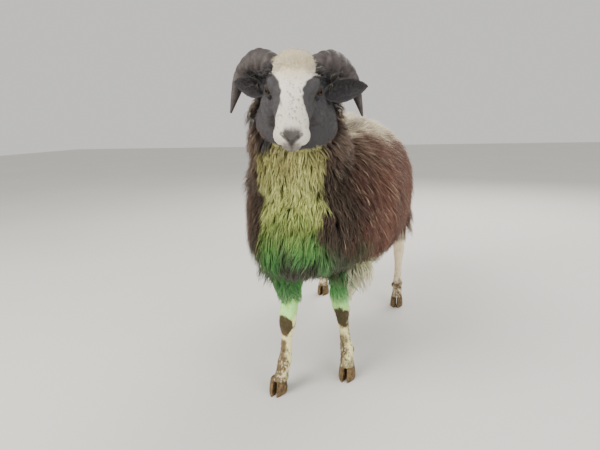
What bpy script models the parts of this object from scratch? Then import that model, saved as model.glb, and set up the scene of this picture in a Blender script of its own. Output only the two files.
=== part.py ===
"""A life-size Jacob sheep with two horns, standing with its head turned to its left.

Metres, +Z up. The sheep faces -Y, so its left side is at +X. It is laid out from a point on the ground
between the fore feet, and moved at the end so that the origin is the bottom centre of its box.
"""

import math

import bmesh
import bpy
import numpy as np
from mathutils import Matrix, Vector
from mathutils.bvhtree import BVHTree

GAP = 0.0003
SEED = 22
SIDES = {"left": 1, "right": -1}
RIGHT, FORWARD, UP = Vector((1, 0, 0)), Vector((0, -1, 0)), Vector((0, 0, 1))

# Stance: where the four feet stand, and the middle of the whole animal seen from above
FORE_FOOT = {"left": Vector((0.075, 0.090, 0)), "right": Vector((-0.083, -0.022, 0))}
HIND_FOOT = {"left": Vector((0.150, 0.632, 0)), "right": Vector((-0.150, 0.688, 0))}
FOOT = {"fore": FORE_FOOT, "hind": HIND_FOOT}
STANCE_CENTRE = Vector((0.0012, 0.3029, 0.0))

# Head: the middle of its eye line, and how it is carried
EYE_MIDDLE = Vector((0.015, -0.129, 0.742))
HEAD_YAW = math.radians(17)
HEAD_ROLL = math.radians(3)
FACE_SLOPE = math.radians(37)
EYE_RADIUS = 0.0135
EYE_CENTRE = Vector((0.0440, 0.000, 0.001))
EYE_OUT = Vector((0.86, -0.47, 0.16)).normalized()

# Where the head ends on the neck: behind the poll, and under the jaw
HEAD_BACK = 0.078
HEAD_UNDER = -0.100

# Where the neck ends on the trunk: a point on the cut, and the way it faces
NECK_CUT = (Vector((0, -0.020, 0.550)), Vector((0, -0.62, 0.785)).normalized())

# Heights where the woolly upper legs meet the trunk and the bare lower legs, and these the claws
UPPER_TOP = {"fore": 0.315, "hind": 0.400}
SHANK_TOP = {"fore": 0.240, "hind": 0.262}
CORONET = 0.036

# Wool: how far the core under the locks stays inside the fleece's outline, and how deep a lock is rooted
CORE_INSET = 0.028
TAIL_INSET = 0.014
LOCK_ROOT = 0.012

PAINTS = {
    "black_face": ((0.035, 0.033, 0.036), 0.75),
    "brown_fleece": ((0.085, 0.045, 0.035), 0.9),
    "horn": ((0.16, 0.15, 0.145), 0.5),
    "claw": ((0.13, 0.095, 0.065), 0.55),
    "eye": ((0.24, 0.19, 0.11), 0.1),
    "white_leg": ((0.76, 0.69, 0.56), 0.85),
}


def clear_scene():
    for thing in list(bpy.data.objects):
        bpy.data.objects.remove(thing)


def painted(thing, name):
    """The object, in the named finish."""
    if name not in bpy.data.materials:
        colour, roughness = PAINTS[name]
        material = bpy.data.materials.new(name)
        material.use_nodes = True
        shader = material.node_tree.nodes["Principled BSDF"]
        shader.inputs["Base Color"].default_value = (*colour, 1)
        shader.inputs["Roughness"].default_value = roughness
        shader.inputs["Metallic"].default_value = 0.0
    thing.data.materials.clear()
    thing.data.materials.append(bpy.data.materials[name])
    return thing


def object_of(name, mesh):
    """An object in the scene that holds this bmesh, which is freed."""
    data = bpy.data.meshes.new(name)
    mesh.to_mesh(data)
    mesh.free()
    thing = bpy.data.objects.new(name, data)
    bpy.context.scene.collection.objects.link(thing)
    return thing


def apply_modifiers(thing):
    """The object with its modifiers made part of its mesh."""
    graph = bpy.context.evaluated_depsgraph_get()
    data = bpy.data.meshes.new_from_object(thing.evaluated_get(graph))
    thing.modifiers.clear()
    thing.data = data
    return thing


def copied(thing, name):
    twin = bpy.data.objects.new(name, thing.data.copy())
    bpy.context.scene.collection.objects.link(twin)
    return twin


# Curves through stations


def eased(stations, count):
    """Rows read evenly along a smooth curve through the stations, whose first number is the place."""
    rows = np.array(stations, float)
    if rows[0, 0] > rows[-1, 0]:
        return eased(rows[::-1], count)[::-1]
    place, values = rows[:, 0], rows[:, 1:]
    slope = np.gradient(values, place, axis=0)
    asked = np.linspace(place[0], place[-1], count)
    index = np.searchsorted(place[1:-1], asked, side="right")
    wide = (place[index + 1] - place[index])[:, None]
    t = (asked - place[index])[:, None] / wide
    read = (
        values[index] * (1 + 2 * t) * (1 - t) ** 2
        + slope[index] * wide * t * (1 - t) ** 2
        + values[index + 1] * t**2 * (3 - 2 * t)
        + slope[index + 1] * wide * t**2 * (t - 1)
    )
    return np.column_stack([asked, read])


def ring(centre, right, up, half, rise, drop, count, power=2.0):
    """A closed loop round centre, half wide, reaching rise above it and drop below it.

    A power above 2 pushes the ellipse out towards a rounded box.
    """
    points = []
    for k in range(count):
        angle = math.tau * k / count
        across = math.copysign(abs(math.cos(angle)) ** (2 / power), math.cos(angle))
        along = math.copysign(abs(math.sin(angle)) ** (2 / power), math.sin(angle))
        points.append(centre + right * half * across + up * (rise if along > 0 else drop) * along)
    return points


def add_loft(mesh, rings, tip=None):
    """Adds a closed body through the rings, which ends in a point where a tip is given."""
    loops = [[mesh.verts.new(p) for p in points] for points in rings]
    count = len(loops[0])
    for near, far in zip(loops, loops[1:]):
        for k in range(count):
            following = (k + 1) % count
            mesh.faces.new((near[k], near[following], far[following], far[k]))
    mesh.faces.new(loops[0][::-1])
    if tip is None:
        mesh.faces.new(loops[-1])
    else:
        point = mesh.verts.new(tip)
        for k in range(count):
            mesh.faces.new((loops[-1][k], loops[-1][(k + 1) % count], point))


def loft(name, rings, tip=None):
    mesh = bmesh.new()
    add_loft(mesh, rings, tip)
    bmesh.ops.recalc_face_normals(mesh, faces=mesh.faces)
    return object_of(name, mesh)


def ball(name, centre, radii, level=2):
    """An ellipsoid with the given radii."""
    mesh = bmesh.new()
    place = Matrix.Translation(centre) @ Matrix.Diagonal((*radii, 1))
    bmesh.ops.create_icosphere(mesh, subdivisions=level, radius=1.0, matrix=place)
    return object_of(name, mesh)


def block(name, low, high, place=None):
    """A box between two corners, which a matrix may then turn and move."""
    low, high = Vector(low), Vector(high)
    mesh = bmesh.new()
    size = Matrix.Diagonal((*(high - low), 1))
    middle = Matrix.Translation((low + high) / 2)
    bmesh.ops.create_cube(mesh, size=1.0, matrix=(place or Matrix()) @ middle @ size)
    return object_of(name, mesh)


# Joining, cutting and simplifying


def combined(thing, operation, others):
    """thing united with, cut by or kept inside the other objects, which are then removed."""
    group = bpy.data.collections.new("operands")
    bpy.context.scene.collection.children.link(group)
    for other in others:
        bpy.context.scene.collection.objects.unlink(other)
        group.objects.link(other)
    boolean = thing.modifiers.new("join", "BOOLEAN")
    boolean.operation = operation
    boolean.solver = "MANIFOLD"
    boolean.operand_type = "COLLECTION"
    boolean.collection = group
    apply_modifiers(thing)
    for other in others:
        bpy.data.objects.remove(other)
    bpy.data.collections.remove(group)
    return thing


def shells_of(mesh):
    """The mesh's corners, parted into its separate surfaces."""
    left = set(mesh.verts)
    shells = []
    while left:
        shell = [left.pop()]
        for corner in shell:
            for edge in corner.link_edges:
                other = edge.other_vert(corner)
                if other in left:
                    left.remove(other)
                    shell.append(other)
        shells.append(shell)
    return shells


def box_volume(shell):
    low = [min(v.co[axis] for v in shell) for axis in range(3)]
    high = [max(v.co[axis] for v in shell) for axis in range(3)]
    return math.prod(h - l for l, h in zip(low, high))


def keep_largest(thing):
    """Drops every closed surface of the object but the largest."""
    mesh = bmesh.new()
    mesh.from_mesh(thing.data)
    shells = sorted(shells_of(mesh), key=box_volume)
    for shell in shells[:-1]:
        bmesh.ops.delete(mesh, geom=shell, context="VERTS")
    bmesh.ops.triangulate(mesh, faces=mesh.faces)
    mesh.to_mesh(thing.data)
    mesh.free()
    return thing


def thinned(thing, triangles, fine=None):
    """The object simplified to about this many triangles, keeping more of them at the fine corners."""
    mesh = bmesh.new()
    mesh.from_mesh(thing.data)
    bmesh.ops.triangulate(mesh, faces=mesh.faces)
    have = len(mesh.faces)
    mesh.to_mesh(thing.data)
    mesh.free()
    decimate = thing.modifiers.new("simplify", "DECIMATE")
    decimate.ratio = min(1.0, triangles / have)
    if fine is not None:
        group = thing.vertex_groups.new(name="plain")
        for level in (0.3, 0.6, 1.0):
            chosen = np.flatnonzero(fine <= 1.05 - level)
            group.add([int(i) for i in chosen], level, "REPLACE")
        decimate.vertex_group = "plain"
        decimate.vertex_group_factor = 1.0
    apply_modifiers(thing)
    thing.vertex_groups.clear()
    return thing


# The head, laid out with its eye line at the origin, +X to its left and -Y along the face to the nose


def head_level():
    """From axes that are level with the ground but turned with the head, to the sheep's."""
    turn = Matrix.Rotation(HEAD_YAW, 4, "Z") @ Matrix.Rotation(HEAD_ROLL, 4, "Y")
    return Matrix.Translation(EYE_MIDDLE) @ turn


def head_place():
    """From the head's own axes, along the face and out of the forehead, to the sheep's."""
    return head_level() @ Matrix.Rotation(FACE_SLOPE, 4, "X")


# Stations from poll to nose, over the short wool of the forehead: place, top, bottom, half width
SKULL = (
    (0.098, 0.018, -0.020, 0.022),
    (0.086, 0.036, -0.040, 0.038),
    (0.062, 0.047, -0.054, 0.050),
    (0.032, 0.047, -0.058, 0.055),
    (0.000, 0.038, -0.055, 0.050),
    (-0.030, 0.027, -0.050, 0.041),
    (-0.060, 0.020, -0.046, 0.0355),
    (-0.088, 0.0140, -0.042, 0.0325),
    (-0.110, 0.0065, -0.040, 0.0320),
    (-0.127, -0.0035, -0.038, 0.0275),
    (-0.1370, -0.0125, -0.033, 0.0155),
)
JAW = (
    (0.062, -0.044, -0.080, 0.030),
    (0.040, -0.040, -0.093, 0.040),
    (0.010, -0.038, -0.095, 0.043),
    (-0.025, -0.036, -0.084, 0.037),
    (-0.055, -0.036, -0.071, 0.030),
    (-0.088, -0.035, -0.060, 0.0245),
    (-0.110, -0.035, -0.0535, 0.0215),
    (-0.125, -0.036, -0.0495, 0.0165),
    (-0.1325, -0.038, -0.0455, 0.0085),
)
# Rounded masses on the skull: middle and radii, for the left side where they come in pairs
PAIRED_MASSES = {
    "cheek": ((0.036, 0.018, -0.047), (0.0355, 0.054, 0.039)),
    "brow": ((0.036, 0.003, 0.006), (0.0195, 0.025, 0.023)),
    "muzzle": ((0.0165, -0.112, -0.021), (0.0195, 0.022, 0.0205)),
    "nostril_wing": ((0.0125, -0.1245, -0.0115), (0.0105, 0.0115, 0.0115)),
}
MIDDLE_MASSES = {
    "chin": ((0, -0.115, -0.0425), (0.0205, 0.0175, 0.0098)),
    "throat": ((0, 0.050, -0.078), (0.050, 0.055, 0.036)),
}
HEAD_VOXEL = 0.0021
HEAD_TRIANGLES = 2550
# Creases and ridges of the face: a line for the left side or the middle, its height and its width
NOSTRIL = (
    (0.0045, -0.1345, -0.0185),
    (0.0105, -0.134, -0.013),
    (0.0160, -0.131, -0.0085),
    (0.0195, -0.1255, -0.0080),
)
LIPS_FRONT = ((0.0185, -0.124, -0.0360), (0.010, -0.1315, -0.0350), (0.0, -0.1335, -0.0340))
LIPS_SIDE = (
    (0.0185, -0.124, -0.0360),
    (0.0265, -0.111, -0.0375),
    (0.029, -0.097, -0.0365),
    (0.029, -0.085, -0.034),
)
PHILTRUM = ((0.0, -0.137, -0.020), (0.0, -0.1365, -0.027), (0.0, -0.1355, -0.033))
BROW_RIDGE = ((0.036, -0.022, 0.016), (0.047, -0.004, 0.024), (0.048, 0.020, 0.018))
FACE_CREST = ((0.047, 0.004, -0.021), (0.040, -0.026, -0.021), (0.032, -0.055, -0.020))
TEAR_PIT = ((0.043, -0.020, -0.004), (0.041, -0.025, -0.006), (0.039, -0.030, -0.007))
FACE_LINES = (
    (NOSTRIL, -0.0065, 0.0030),
    (LIPS_FRONT, -0.0036, 0.0026),
    (LIPS_SIDE, -0.0034, 0.0026),
    (PHILTRUM, -0.0020, 0.0020),
    (BROW_RIDGE, 0.0026, 0.0070),
    (FACE_CREST, 0.0020, 0.0060),
    (TEAR_PIT, -0.0024, 0.0050),
)

# Creases deeper than this keep their fine corners when the head is simplified
FINE_DEPTH = -0.003

# The eye's opening as half angles at the eye's centre, along its slit and across it
OPENING_HALF = math.radians(56)
OPENING_RISE = math.radians(31)
OPENING_POINT = 0.45
# A lid's section: how far it lies from the opening's edge to where it sinks, and its height on the eyeball
LID_SECTION = ((0.0, -0.0015), (0.0, 0.0026), (0.32, 0.0036), (1.0, -0.0020))
LID_EDGE = math.radians(84)


def mirrored(place):
    return Vector((-place[0], place[1], place[2]))


def head_tube(name, stations, count, sides, power):
    rings = []
    for place, top, bottom, half in eased(stations, count):
        middle = (top + bottom) / 2
        centre = Vector((0, place, middle))
        rings.append(ring(centre, RIGHT, UP, half, top - middle, middle - bottom, sides, power))
    return loft(name, rings)


def head_mass():
    """The skull, jaw, cheeks, brows, lips and chin, joined to one body on the head's own axes."""
    core = head_tube("head", SKULL, 26, 28, 2.3)
    parts = [head_tube("jaw", JAW, 18, 20, 2.2)]
    for name, (middle, radii) in PAIRED_MASSES.items():
        parts += [ball(name, Vector(middle), radii), ball(name, mirrored(middle), radii)]
    for name, (middle, radii) in MIDDLE_MASSES.items():
        parts.append(ball(name, Vector(middle), radii))
    return combined(core, "UNION", parts)


def distance_to_line(points, line, tree):
    """How far each point lies from a smooth line through the given places, laid on the surface."""
    route = eased([(i, *p) for i, p in enumerate(line)], 30)[:, 1:]
    route = np.array([tree.find_nearest(Vector(p))[0] for p in route])
    gaps = points[:, None, :] - route[None, :, :]
    return np.sqrt((gaps**2).sum(axis=2)).min(axis=1)


def eye_axes(side):
    """Out of the eye, along its slit towards the nose, and up across it."""
    out = Vector((side * EYE_OUT.x, EYE_OUT.y, EYE_OUT.z))
    slit = Vector((side * 0.30, -0.90, 0.26))
    slit = (slit - out * slit.dot(out)).normalized()
    return out, slit, (slit.cross(out) * side).normalized()


def around_eye(side, turn, away, height):
    """A place on the eyeball, by the turn round its opening and how far away from the opening's edge."""
    out, slit, up = eye_axes(side)
    almond = Vector((math.cos(turn), math.sin(turn) * (1 - OPENING_POINT * math.cos(turn) ** 2)))
    edge = Vector((OPENING_HALF * almond.x, OPENING_RISE * almond.y))
    wide = Vector((math.cos(turn), math.sin(turn))) * LID_EDGE
    tilt = edge.lerp(wide, away)
    ray = out * math.cos(tilt.length) + (slit * tilt.x + up * tilt.y).normalized() * math.sin(tilt.length)
    centre = Vector((side * EYE_CENTRE.x, EYE_CENTRE.y, EYE_CENTRE.z))
    return centre + ray * (EYE_RADIUS + height)


def lids(side, count=20):
    """Both lids as one ring, from the almond opening out to where they sink in the brow and cheek."""
    mesh = bmesh.new()
    loops = []
    for k in range(count):
        turn = math.tau * k / count
        loops.append([mesh.verts.new(around_eye(side, turn, *place)) for place in LID_SECTION])
    for near, far in zip(loops, loops[1:] + loops[:1]):
        for k in range(len(near)):
            following = (k + 1) % len(near)
            mesh.faces.new((near[k], near[following], far[following], far[k]))
    bmesh.ops.recalc_face_normals(mesh, faces=mesh.faces)
    return object_of("lids", mesh)


def eye_opening(side, count=20):
    """The space in front of the eyeball that the lids leave open."""
    turns = [math.tau * k / count for k in range(count)]
    return loft("opening", [[around_eye(side, t, 0.0, height) for t in turns] for height in (-0.004, 0.012)])


def surface_tree(thing):
    mesh = bmesh.new()
    mesh.from_mesh(thing.data)
    tree = BVHTree.FromBMesh(mesh)
    mesh.free()
    return tree


def carve_face(thing):
    """Presses the face's creases in and its ridges out, and tells where its corners have to stay fine."""
    tree = surface_tree(thing)
    points = np.array([v.co for v in thing.data.vertices])
    normals = np.array([v.normal for v in thing.data.vertices])
    moved = np.zeros(len(points))
    fine = np.zeros(len(points))
    for line, height, width in FACE_LINES:
        for path in (line, [mirrored(p) for p in line]):
            share = np.exp(-((distance_to_line(points, path, tree) / width) ** 2))
            moved = np.where(np.abs(height * share) > np.abs(moved), height * share, moved)
            if height < FINE_DEPTH:
                fine = np.maximum(fine, np.clip(share * 2, 0, 1))
    points = points + normals * moved[:, None]
    thing.data.vertices.foreach_set("co", points.ravel())
    thing.data.update()
    return fine


def make_head(triangles):
    """The head's solid, with its lids, lips, nostrils and the line of the mouth."""
    thing = head_mass()
    remesh = thing.modifiers.new("blend", "REMESH")
    remesh.mode = "VOXEL"
    remesh.voxel_size = HEAD_VOXEL
    apply_modifiers(thing)
    smooth = thing.modifiers.new("soften", "SMOOTH")
    smooth.factor = 0.5
    smooth.iterations = 14
    apply_modifiers(thing)
    fine = carve_face(thing)
    thinned(thing, triangles, fine)
    combined(thing, "UNION", [lids(side) for side in SIDES.values()])
    combined(thing, "DIFFERENCE", [eye_opening(side) for side in SIDES.values()])
    thing.data.transform(head_place())
    return thing


def eyeball(side, grow=0.0):
    centre = head_place() @ Vector((side * EYE_CENTRE.x, EYE_CENTRE.y, EYE_CENTRE.z))
    radius = EYE_RADIUS + grow
    return ball("eye", centre, (radius, radius, radius))


# Ears: a leaf folded to a cup, from a root and a tip that are level with the head
EAR_ROOT = Vector((0.042, 0.040, -0.001))
EAR_TIP = {"left": Vector((0.152, 0.036, 0.016)), "right": Vector((0.124, 0.036, 0.018))}
EAR_WIDTH = {"left": 0.0250, "right": 0.0210}
EAR_WALL = 0.0024
EAR_ARCH = 0.012
# Stations along the ear: place, share of the half width, and how far round the cup folds, in degrees
EAR_SHAPE = (
    (0.00, 0.36, 165),
    (0.12, 0.48, 150),
    (0.28, 0.72, 112),
    (0.48, 1.00, 84),
    (0.66, 0.93, 66),
    (0.82, 0.66, 52),
    (0.93, 0.36, 44),
    (1.00, 0.08, 40),
)


def ear_axes(side):
    """The ear's root and tip, the way its cup opens, and the way across it."""
    sign = SIDES[side]
    root = Vector((sign * EAR_ROOT.x, EAR_ROOT.y, EAR_ROOT.z))
    tip = Vector((sign * EAR_TIP[side].x, EAR_TIP[side].y, EAR_TIP[side].z))
    along = (tip - root).normalized()
    opening = Vector((sign * 0.12, -1.0, -0.42))
    opening = (opening - along * opening.dot(along)).normalized()
    return root, tip, opening, along.cross(opening) * sign


def crescent(centre, across, opening, half, fold, wall, count):
    """The back of the ear, then its inner face, folded to an arc of the given half angle."""
    fold = math.radians(fold)
    radius = half / math.sin(min(fold, math.pi / 2))
    steps = [2 * k / (count - 1) - 1 for k in range(count)]
    points = []
    for depth, order in ((0.0, steps), (wall, steps[::-1])):
        for step in order:
            size = radius - depth * (1 - 0.55 * abs(step) ** 3)
            arc = size * math.cos(fold * step) - radius * math.cos(fold / 2)
            points.append(centre + across * size * math.sin(fold * step) - opening * arc)
    return points


def ear(side, stations=9, count=8):
    root, tip, opening, across = ear_axes(side)
    rings = []
    for place, share, fold in eased(EAR_SHAPE, stations):
        centre = root.lerp(tip, place) + UP * EAR_ARCH * place * (1 - place)
        wall = EAR_WALL * (1.5 - 0.7 * place)
        rings.append(crescent(centre, across, opening, EAR_WIDTH[side] * share, fold, wall, count))
    thing = loft("ear_" + side, rings)
    thing.data.transform(head_level())
    return thing


def ear_hole(side, stations=4, sides=10):
    """The round hole in the head that the rolled root of the ear stands in."""
    root, tip, opening, across = ear_axes(side)
    rings = []
    for place, share, fold in eased(EAR_SHAPE, 9)[:stations]:
        centre = root.lerp(tip, place) + UP * EAR_ARCH * place * (1 - place)
        radius = EAR_WIDTH[side] * share / math.sin(min(math.radians(fold), math.pi / 2))
        centre = centre + opening * radius * math.cos(math.radians(fold) / 2)
        around = (radius + GAP) / math.cos(math.pi / sides)
        rings.append(ring(centre, across, opening, around, around, around, sides))
    start = (tip - root).normalized() * GAP
    rings[0] = [point - start for point in rings[0]]
    thing = loft("ear_hole", rings)
    thing.data.transform(head_level())
    return thing


# Horns: places from the poll out, back and down, level with the head, with the horn's half thickness
HORN_PATH = (
    (0.00, 0.035, 0.034, 0.041, 0.0245),
    (0.16, 0.056, 0.048, 0.056, 0.0270),
    (0.34, 0.081, 0.068, 0.062, 0.0275),
    (0.52, 0.104, 0.085, 0.0500, 0.0245),
    (0.68, 0.119, 0.090, 0.028, 0.0188),
    (0.84, 0.1285, 0.084, -0.004, 0.0118),
    (1.00, 0.137, 0.070, -0.044, 0.0026),
)
HORN_SPREAD = {"left": 1.09, "right": 1.0}
HORN_RIDGES = 11
HORN_RIDGE_HEIGHT = 0.042
HORN_FLATNESS = 0.84


def horn(side, grow=0.0, count=24, sides=10):
    sign = SIDES[side]
    rows = eased(HORN_PATH, count)
    path = [Vector((sign * x * (1 + (HORN_SPREAD[side] - 1) * place), y, z)) for place, x, y, z, _ in rows]
    rings = []
    for i, centre in enumerate(path):
        ahead = (path[min(i + 1, count - 1)] - path[max(i - 1, 0)]).normalized()
        out = Vector((sign, 0.0, 0.25))
        out = (out - ahead * out.dot(ahead)).normalized()
        place, half = rows[i][0], rows[i][4]
        half *= 1 + HORN_RIDGE_HEIGHT * math.sin(math.tau * HORN_RIDGES * place) * (1 - place)
        half += grow
        depth = half * HORN_FLATNESS
        rings.append(ring(centre, ahead.cross(out), out, half, depth, depth, sides, 2.3))
    thing = loft("horn_" + side, rings)
    thing.data.transform(head_level())
    return thing


# The fleece's outline, out to its tips. Trunk: place along it, middle height, half width, rise, drop
TRUNK = (
    (-0.132, 0.428, 0.035, 0.045, 0.045),
    (-0.112, 0.430, 0.088, 0.105, 0.100),
    (-0.070, 0.440, 0.124, 0.158, 0.112),
    (-0.012, 0.445, 0.156, 0.208, 0.137),
    (0.070, 0.452, 0.186, 0.236, 0.166),
    (0.210, 0.450, 0.205, 0.240, 0.187),
    (0.360, 0.450, 0.209, 0.238, 0.198),
    (0.500, 0.458, 0.207, 0.230, 0.184),
    (0.615, 0.466, 0.190, 0.214, 0.158),
    (0.700, 0.470, 0.158, 0.186, 0.130),
    (0.755, 0.470, 0.112, 0.142, 0.098),
    (0.785, 0.470, 0.045, 0.062, 0.045),
)
# Neck: place, its centre in X, Y and Z, its half width, and its half depth
NECK = (
    (0.00, 0.000, 0.085, 0.470, 0.118, 0.140),
    (0.25, 0.000, 0.036, 0.530, 0.122, 0.140),
    (0.50, -0.004, -0.004, 0.600, 0.120, 0.130),
    (0.72, -0.010, -0.032, 0.660, 0.119, 0.116),
    (0.88, -0.010, -0.044, 0.706, 0.116, 0.100),
    (1.00, -0.004, -0.048, 0.752, 0.096, 0.082),
)
# Tail: place, its centre in Y and Z, its half width and half depth
TAIL = (
    (0.00, 0.715, 0.600, 0.046, 0.036),
    (0.25, 0.768, 0.572, 0.050, 0.040),
    (0.55, 0.790, 0.490, 0.048, 0.036),
    (0.82, 0.796, 0.405, 0.038, 0.030),
    (1.00, 0.795, 0.350, 0.018, 0.016),
)


def trunk_core(count=18, sides=18):
    rings = []
    for place, middle, half, rise, drop in eased(TRUNK, count):
        inset = min(CORE_INSET, 0.5 * half, 0.5 * rise, 0.5 * drop)
        centre = Vector((0, place, middle))
        rings.append(ring(centre, RIGHT, UP, half - inset, rise - inset, drop - inset, sides, 2.25))
    return loft("whole", rings)


def column(name, stations, inset, count, sides):
    """A neck or a tail: a loft whose sections stand square to its run."""
    rows = eased(stations, count)
    rings = []
    for i, (_, x, y, z, half, depth) in enumerate(rows):
        ahead = Vector((rows[min(i + 1, count - 1)] - rows[max(i - 1, 0)])[1:4]).normalized()
        shy = min(inset, 0.5 * half, 0.5 * depth)
        half -= shy
        depth -= shy
        rings.append(ring(Vector((x, y, z)), RIGHT, ahead.cross(RIGHT), half, depth, depth, sides, 2.1))
    return loft(name, rings)


def fore_rows(side):
    """The foreleg from elbow to coronet: place, X, Y, Z, half width, half depth in front and behind."""
    foot = FORE_FOOT[side]
    top, y = 0.058, foot.y
    return (
        (0.00, 0.086, top, 0.345, 0.050, 0.050, 0.054),
        (0.16, 0.080, top + 0.1 * (y - top), 0.300, 0.043, 0.042, 0.046),
        (0.30, 0.069, top + 0.3 * (y - top), 0.262, 0.030, 0.032, 0.034),
        (0.40, 0.061, top + 0.5 * (y - top), 0.232, 0.0240, 0.0255, 0.0260),
        (0.50, 0.058, top + 0.8 * (y - top), 0.203, 0.0220, 0.0245, 0.0235),
        (0.56, 0.058, y + 0.009, 0.184, 0.0215, 0.0235, 0.0225),
        (0.62, 0.060, y + 0.011, 0.160, 0.0165, 0.0175, 0.0195),
        (0.72, 0.064, y + 0.011, 0.125, 0.0140, 0.0150, 0.0180),
        (0.80, 0.067, y + 0.012, 0.098, 0.0150, 0.0160, 0.0190),
        (0.86, 0.070, y + 0.010, 0.077, 0.0180, 0.0190, 0.0225),
        (0.93, 0.073, y - 0.001, 0.055, 0.0170, 0.0185, 0.0190),
        (1.00, 0.075, y - 0.010, CORONET, 0.0195, 0.0225, 0.0215),
    )


def hind_rows(side):
    """The hind leg from stifle to coronet: place, X, Y, Z, half width, half depth in front and behind."""
    foot = HIND_FOOT[side]
    x, y = abs(foot.x), foot.y
    return (
        (0.00, x - 0.050, y - 0.060, 0.440, 0.064, 0.078, 0.086),
        (0.14, x - 0.038, y - 0.050, 0.380, 0.058, 0.072, 0.080),
        (0.28, x - 0.022, y - 0.026, 0.322, 0.046, 0.056, 0.062),
        (0.40, x - 0.008, y + 0.012, 0.272, 0.030, 0.038, 0.038),
        (0.48, x - 0.002, y + 0.036, 0.236, 0.0205, 0.0250, 0.0260),
        (0.54, x, y + 0.044, 0.212, 0.0205, 0.0245, 0.0265),
        (0.60, x, y + 0.042, 0.188, 0.0180, 0.0220, 0.0215),
        (0.70, x, y + 0.034, 0.150, 0.0135, 0.0165, 0.0175),
        (0.80, x, y + 0.027, 0.108, 0.0140, 0.0170, 0.0185),
        (0.86, x, y + 0.021, 0.079, 0.0175, 0.0195, 0.0225),
        (0.93, x, y + 0.004, 0.055, 0.0165, 0.0185, 0.0190),
        (1.00, x, y - 0.006, CORONET, 0.0190, 0.0225, 0.0215),
    )


LEG_ROWS = {"fore": fore_rows, "hind": hind_rows}


def leg_body(end, side, count=23, sides=10):
    """The whole leg from the trunk to the coronet."""
    rings = []
    for _, x, y, z, half, front, back in eased(LEG_ROWS[end](side), count):
        rings.append(ring(Vector((SIDES[side] * x, y, z)), RIGHT, FORWARD, half, front, back, sides, 2.1))
    return loft("leg", rings)


# Bare lower legs, with two dewclaws behind each fetlock
DEWCLAW = (0.0062, 0.0070, 0.0100)
DEWCLAW_HEIGHT = 0.064
DEWCLAW_SPREAD = 0.0105
DEWCLAW_BACK = {"fore": 0.030, "hind": 0.041}
EVERYWHERE = 3.0


def shank(end, side):
    leg = leg_body(end, side)
    leg.name = f"{end}leg_lower_{side}"
    foot = FOOT[end][side]
    dewclaws = []
    for sign in SIDES.values():
        x = foot.x * 0.95 + sign * DEWCLAW_SPREAD
        centre = Vector((x, foot.y + DEWCLAW_BACK[end], DEWCLAW_HEIGHT))
        dewclaws.append(ball("dewclaw", centre, DEWCLAW, level=1))
    combined(leg, "UNION", dewclaws)
    low = Vector((-EVERYWHERE, -EVERYWHERE, CORONET + GAP))
    high = Vector((EVERYWHERE, EVERYWHERE, SHANK_TOP[end] - GAP / 2))
    combined(leg, "INTERSECT", [block("span", low, high)])
    return keep_largest(leg)


# A claw from coronet to ground: place, height, reach ahead of and behind the foot, half width
CLAW = (
    (0.00, CORONET, 0.0215, 0.0195, 0.0090),
    (0.40, 0.0225, 0.0275, 0.0215, 0.0102),
    (0.80, 0.0060, 0.0335, 0.0225, 0.0108),
    (1.00, 0.0000, 0.0335, 0.0215, 0.0104),
)
CLAW_CLEFT = 0.0012
CLAW_TAPER = 0.45
FOOT_LEAN = {"fore": -0.010, "hind": -0.006}


def claw(end, side, place, sides=10):
    """One of a foot's two claws, flat on the ground, pointed in front and curved on its outer side."""
    foot = FOOT[end][side]
    outward = SIDES[side] * (1 if place == "outer" else -1)
    rings = []
    for _, z, ahead, behind, half in eased(CLAW, 5):
        points = []
        for k in range(sides):
            angle = math.tau * k / sides
            along = math.sin(angle)
            width = half * (1 + math.cos(angle)) * (1 - CLAW_TAPER * max(0.0, along) ** 2)
            reach = ahead if along > 0 else behind
            y = foot.y + FOOT_LEAN[end] - along * reach
            points.append(Vector((foot.x + outward * (CLAW_CLEFT + width), y, z)))
        rings.append(points)
    return loft(f"{end}claw_{side}_{place}", rings)


# The parts of the body that carry wool, as the blocks of space they fill


def head_space(grow):
    low = Vector((-EVERYWHERE, -EVERYWHERE, HEAD_UNDER - grow))
    high = Vector((EVERYWHERE, HEAD_BACK + grow, EVERYWHERE))
    return block("space", low, high, head_place())


def neck_space(grow):
    point, facing = NECK_CUT
    turn = facing.to_track_quat("Z", "Y").to_matrix().to_4x4()
    wide = EVERYWHERE * 2
    return block("space", (-wide, -wide, -grow), (wide, wide, wide), Matrix.Translation(point) @ turn)


def tail_space(grow):
    return block("space", (-0.060 - grow, 0.770 - grow, 0.300), (0.060 + grow, 1.0, 0.640 + grow))


# How far an upper leg's space reaches: inner and outer X, in front of and behind the foot
LEG_SPACE = {"fore": (0.014, 0.170, 0.085, 0.095), "hind": (0.012, 0.260, 0.150, 0.120)}


def leg_space(end, side, grow):
    inner, outer, front, back = LEG_SPACE[end]
    across = sorted((SIDES[side] * (inner - grow), SIDES[side] * (outer + grow)))
    y = FOOT[end][side].y
    low = Vector((across[0], y - front - grow, SHANK_TOP[end] - grow))
    high = Vector((across[1], y + back + grow, UPPER_TOP[end] + grow))
    return block("space", low, high)


# Wool of each part: room between roots, a lock's length, and how high its tip stands over the core
WOOL = {
    "neck": (0.062, 0.115, 0.026),
    "trunk": (0.092, 0.155, 0.027),
    "fore": (0.050, 0.052, 0.008),
    "hind": (0.076, 0.100, 0.016),
    "tail": (0.060, 0.090, 0.014),
}
LOCK_WIDTH = 1.42
LOCK_FLATNESS = 0.30
LOW_WOOL = 0.36
LOW_SHARE = 0.62
# Stations along a lock: place, share of its width, share of its height. Its foot's width and thickness
LOCK_SHAPE = ((0.34, 1.0, 0.62), (0.72, 0.70, 0.94))
LOCK_FOOT = (0.7, 0.3)
LOCK_SWAY = 0.16
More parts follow.
